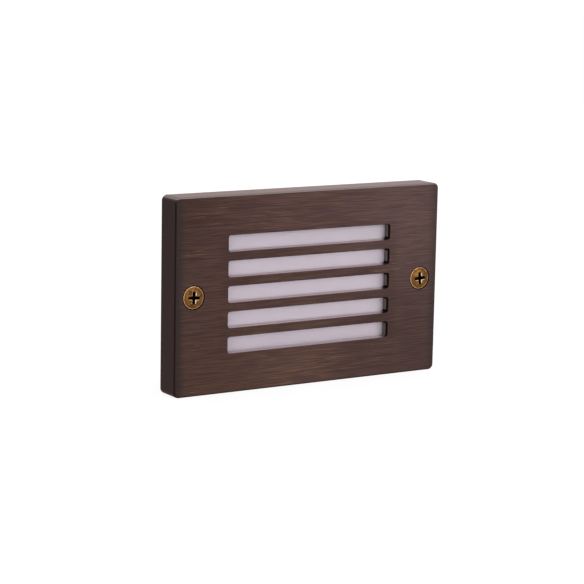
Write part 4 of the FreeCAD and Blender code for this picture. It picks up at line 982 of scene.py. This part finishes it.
def soft_lamp(name, place, width, watts):
    """A square soft lamp that points at the object."""
    deselect()
    direction = Vector(place).to_track_quat("Z", "Y").to_euler()
    bpy.ops.object.light_add(type="AREA", location=place, rotation=direction)
    lamp = bpy.context.object
    lamp.name = name
    lamp.data.size = width
    lamp.data.energy = watts


def photo_camera(stage):
    """The camera at the photograph's angle."""
    turned = (
        Matrix.Rotation(-stage.azimuth, 4, "Z")
        @ Matrix.Rotation(math.pi / 2 - stage.elevation, 4, "X")
        @ Matrix.Rotation(stage.roll, 4, "Z")
    )
    deselect()
    bpy.ops.object.camera_add()
    camera = bpy.context.object
    aim = Matrix.Translation(Vector(stage.aim) * MM)
    camera.matrix_world = aim @ turned @ Matrix.Translation((0, 0, stage.distance * MM))
    camera.data.lens = stage.focal_length
    camera.data.sensor_width = SENSOR_WIDTH
    camera.data.clip_start = NEAREST_SEEN * MM
    bpy.context.scene.camera = camera


# --- operators -------------------------------------------------------------------------------------


class Step:
    """What every step of the work shares."""

    bl_options = {"REGISTER", "UNDO"}


class STEPLIGHT_OT_stage(Step, bpy.types.Operator):
    """Set up the camera, the lamps, the floor and the white surroundings"""

    bl_idname = "step_light.stage"
    bl_label = "Stage"

    def execute(self, context):
        stage = settings("stage")
        white_world(stage)
        pale_floor(stage)
        for name, place, width in LAMPS:
            soft_lamp(f"{name}_light", place, width, getattr(stage, f"{name}_power"))
        photo_camera(stage)
        context.scene.view_settings.view_transform = "Standard"
        return {"FINISHED"}


class STEPLIGHT_OT_cover(Step, bpy.types.Operator):
    """Finish the slotted cover"""

    bl_idname = "step_light.cover"
    bl_label = "Cover"

    def execute(self, context):
        colours = settings("finish")
        coat(brushed_patina(colours), "cover_plate")
        coat(moulded("Washer plastic", colours.black), "screw_retainers")
        return {"FINISHED"}


class STEPLIGHT_OT_cover_screws(Step, bpy.types.Operator):
    """Model the two cover screws"""

    bl_idname = "step_light.cover_screws"
    bl_label = "Cover screws"

    def execute(self, context):
        screw = settings("screw")
        colours = settings("finish")
        worn = machined("Worn brass", colours.screw_bright)
        left = cover_screw(screw, aged_brass(colours), worn, recess_dirt(colours))
        right = copy_of(left, "cover_screw_right")
        facing_front = Matrix.Rotation(math.pi / 2, 4, "X")
        for piece, side, twist in ((left, -1, screw.left_turn), (right, 1, screw.right_turn)):
            place = Matrix.Translation((side * SCREW_PLACE * MM, 0, 0))
            settle(piece, place @ facing_front @ Matrix.Rotation(twist, 4, "Z"))
            hand_over(piece, "cover", "bright_brass", "cover_screws")
        return {"FINISHED"}


class STEPLIGHT_OT_lens(Step, bpy.types.Operator):
    """Finish the lens, its gasket, its frame and the frame's screws"""

    bl_idname = "step_light.lens"
    bl_label = "Lens"

    def execute(self, context):
        colours = settings("finish")
        coat(opal_plastic(colours), "lens")
        coat(rubber("Lens gasket", colours.silicone, colours.silicone_pale), "lens_gasket")
        coat(moulded("Frame plastic", colours.black), "lens_frame")
        coat(machined("Frame screws", colours.steel), "lens_frame_screws")
        return {"FINISHED"}


class STEPLIGHT_OT_housing(Step, bpy.types.Operator):
    """Finish the housing with its seals and inserts"""

    bl_idname = "step_light.housing"
    bl_label = "Housing"

    def execute(self, context):
        colours = settings("finish")
        coat(cast_aluminium(colours), "housing")
        coat(machined("Brass inserts", colours.brass), "threaded_inserts")
        coat(rubber("Housing seal", colours.silicone), "housing_seal")
        coat(foam("Gasket foam", colours.foam), "wall_gasket")
        return {"FINISHED"}


class STEPLIGHT_OT_lamp(Step, bpy.types.Operator):
    """Model the light chips and finish the rest of the lamp"""

    bl_idname = "step_light.lamp"
    bl_label = "Lamp"

    def execute(self, context):
        colours = settings("finish")
        white = moulded("White plastic", colours.white, roughness=0.3)
        coat(white, "reflector")
        coat(lamp_board(colours), "led_board")
        coat(thermal_pad(colours), "thermal_pad")
        coat(aluminium_plate(colours), "heat_spreader")
        coat(insulation_film(colours), "insulation_sheet")
        coat(machined("Board screws", colours.steel), "led_board_screws")
        model = light_chip(white, phosphor(colours))
        columns = [FIRST_CHIP + column * CHIP_PITCH for column in range(CHIP_COLUMNS)]
        places = [(x, 0, row) for row in (CHIP_ROW, -CHIP_ROW) for x in columns]
        for number, place in enumerate(places, 1):
            chip = copy_of(model, f"light_chip_{number}")
            settle(chip, Matrix.Translation(Vector(place) * MM))
            hand_over(chip, "wall_unit", "phosphor", "led_chips")
        bpy.data.objects.remove(model)
        return {"FINISHED"}


class STEPLIGHT_OT_driver(Step, bpy.types.Operator):
    """Finish the driver board and its parts"""

    bl_idname = "step_light.driver"
    bl_label = "Driver"

    def execute(self, context):
        colours = settings("finish")
        coat(driver_board(colours), "driver_board")
        coat(machined("Driver screws", colours.steel), "driver_screws", "terminal_screws")
        coat(moulded("Ferrite", colours.ferrite, roughness=0.6, grain=0.15), "inductor")
        coat(aluminium_plate(colours), "capacitors")
        coat(moulded("Chip plastic", colours.black, roughness=0.5), "driver_chips", "link_header")
        coat(moulded("Terminal plastic", colours.terminal), "terminal_block")
        coat(machined("Link pins", colours.brass), "link_pins")
        return {"FINISHED"}


class STEPLIGHT_OT_selector(Step, bpy.types.Operator):
    """Finish the light colour selector and raise its numbers"""

    bl_idname = "step_light.selector"
    bl_label = "Selector"

    def execute(self, context):
        colours = settings("finish")
        coat(moulded("Switch plastic", colours.black), "selector_switch")
        coat(foam("Sleeve foam", colours.foam), "selector_seal")
        coat(moulded("Knob plastic", colours.knob, roughness=0.35), "selector_knob")
        paint = moulded("Numeral paint", colours.numeral, roughness=0.35)
        for number in (1, 2, 3):
            piece = numeral(str(number), KNOB_MIDDLE + (2 - number) * KNOB_TRAVEL, paint)
            hand_over(piece, "wall_unit", "cast_aluminium")
        return {"FINISHED"}


class STEPLIGHT_OT_gland(Step, bpy.types.Operator):
    """Finish the cable gland"""

    bl_idname = "step_light.gland"
    bl_label = "Gland"

    def execute(self, context):
        colours = settings("finish")
        plastic = moulded("Gland plastic", colours.black, roughness=0.38)
        coat(plastic, "gland_body", "gland_nut", "gland_lock_nut")
        coat(rubber("Gland seal", colours.silicone), "gland_seal")
        coat(rubber("Gland washer", colours.foam), "gland_washer")
        return {"FINISHED"}


STEPS = (
    STEPLIGHT_OT_stage,
    STEPLIGHT_OT_cover,
    STEPLIGHT_OT_cover_screws,
    STEPLIGHT_OT_lens,
    STEPLIGHT_OT_housing,
    STEPLIGHT_OT_lamp,
    STEPLIGHT_OT_driver,
    STEPLIGHT_OT_selector,
    STEPLIGHT_OT_gland,
)


class STEPLIGHT_PT_steps(bpy.types.Panel):
    """Lists the settings and the steps"""

    bl_idname = "STEPLIGHT_PT_steps"
    bl_label = "Step light"
    bl_space_type = "VIEW_3D"
    bl_region_type = "UI"
    bl_category = "Step light"

    def draw(self, context):
        for group in SETTINGS:
            column = self.layout.column(heading=group.title())
            for name in SETTINGS[group].__annotations__:
                column.prop(settings(group), name)
        for step in STEPS:
            self.layout.operator(step.bl_idname)


def register():
    """Makes the settings, the steps and the panel known to Blender."""
    for group, kind in SETTINGS.items():
        bpy.utils.register_class(kind)
        setattr(bpy.types.Scene, f"step_light_{group}", bpy.props.PointerProperty(type=kind))
    for kind in (*STEPS, STEPLIGHT_PT_steps):
        bpy.utils.register_class(kind)


def unregister():
    """Takes them away again."""
    for kind in reversed((*STEPS, STEPLIGHT_PT_steps)):
        bpy.utils.unregister_class(kind)
    for group, kind in SETTINGS.items():
        delattr(bpy.types.Scene, f"step_light_{group}")
        bpy.utils.unregister_class(kind)


def main():
    """Takes every step in order."""
    register()
    for step in STEPS:
        getattr(bpy.ops.step_light, step.bl_idname.split(".")[1])()


if __name__ == "__main__":
    main()
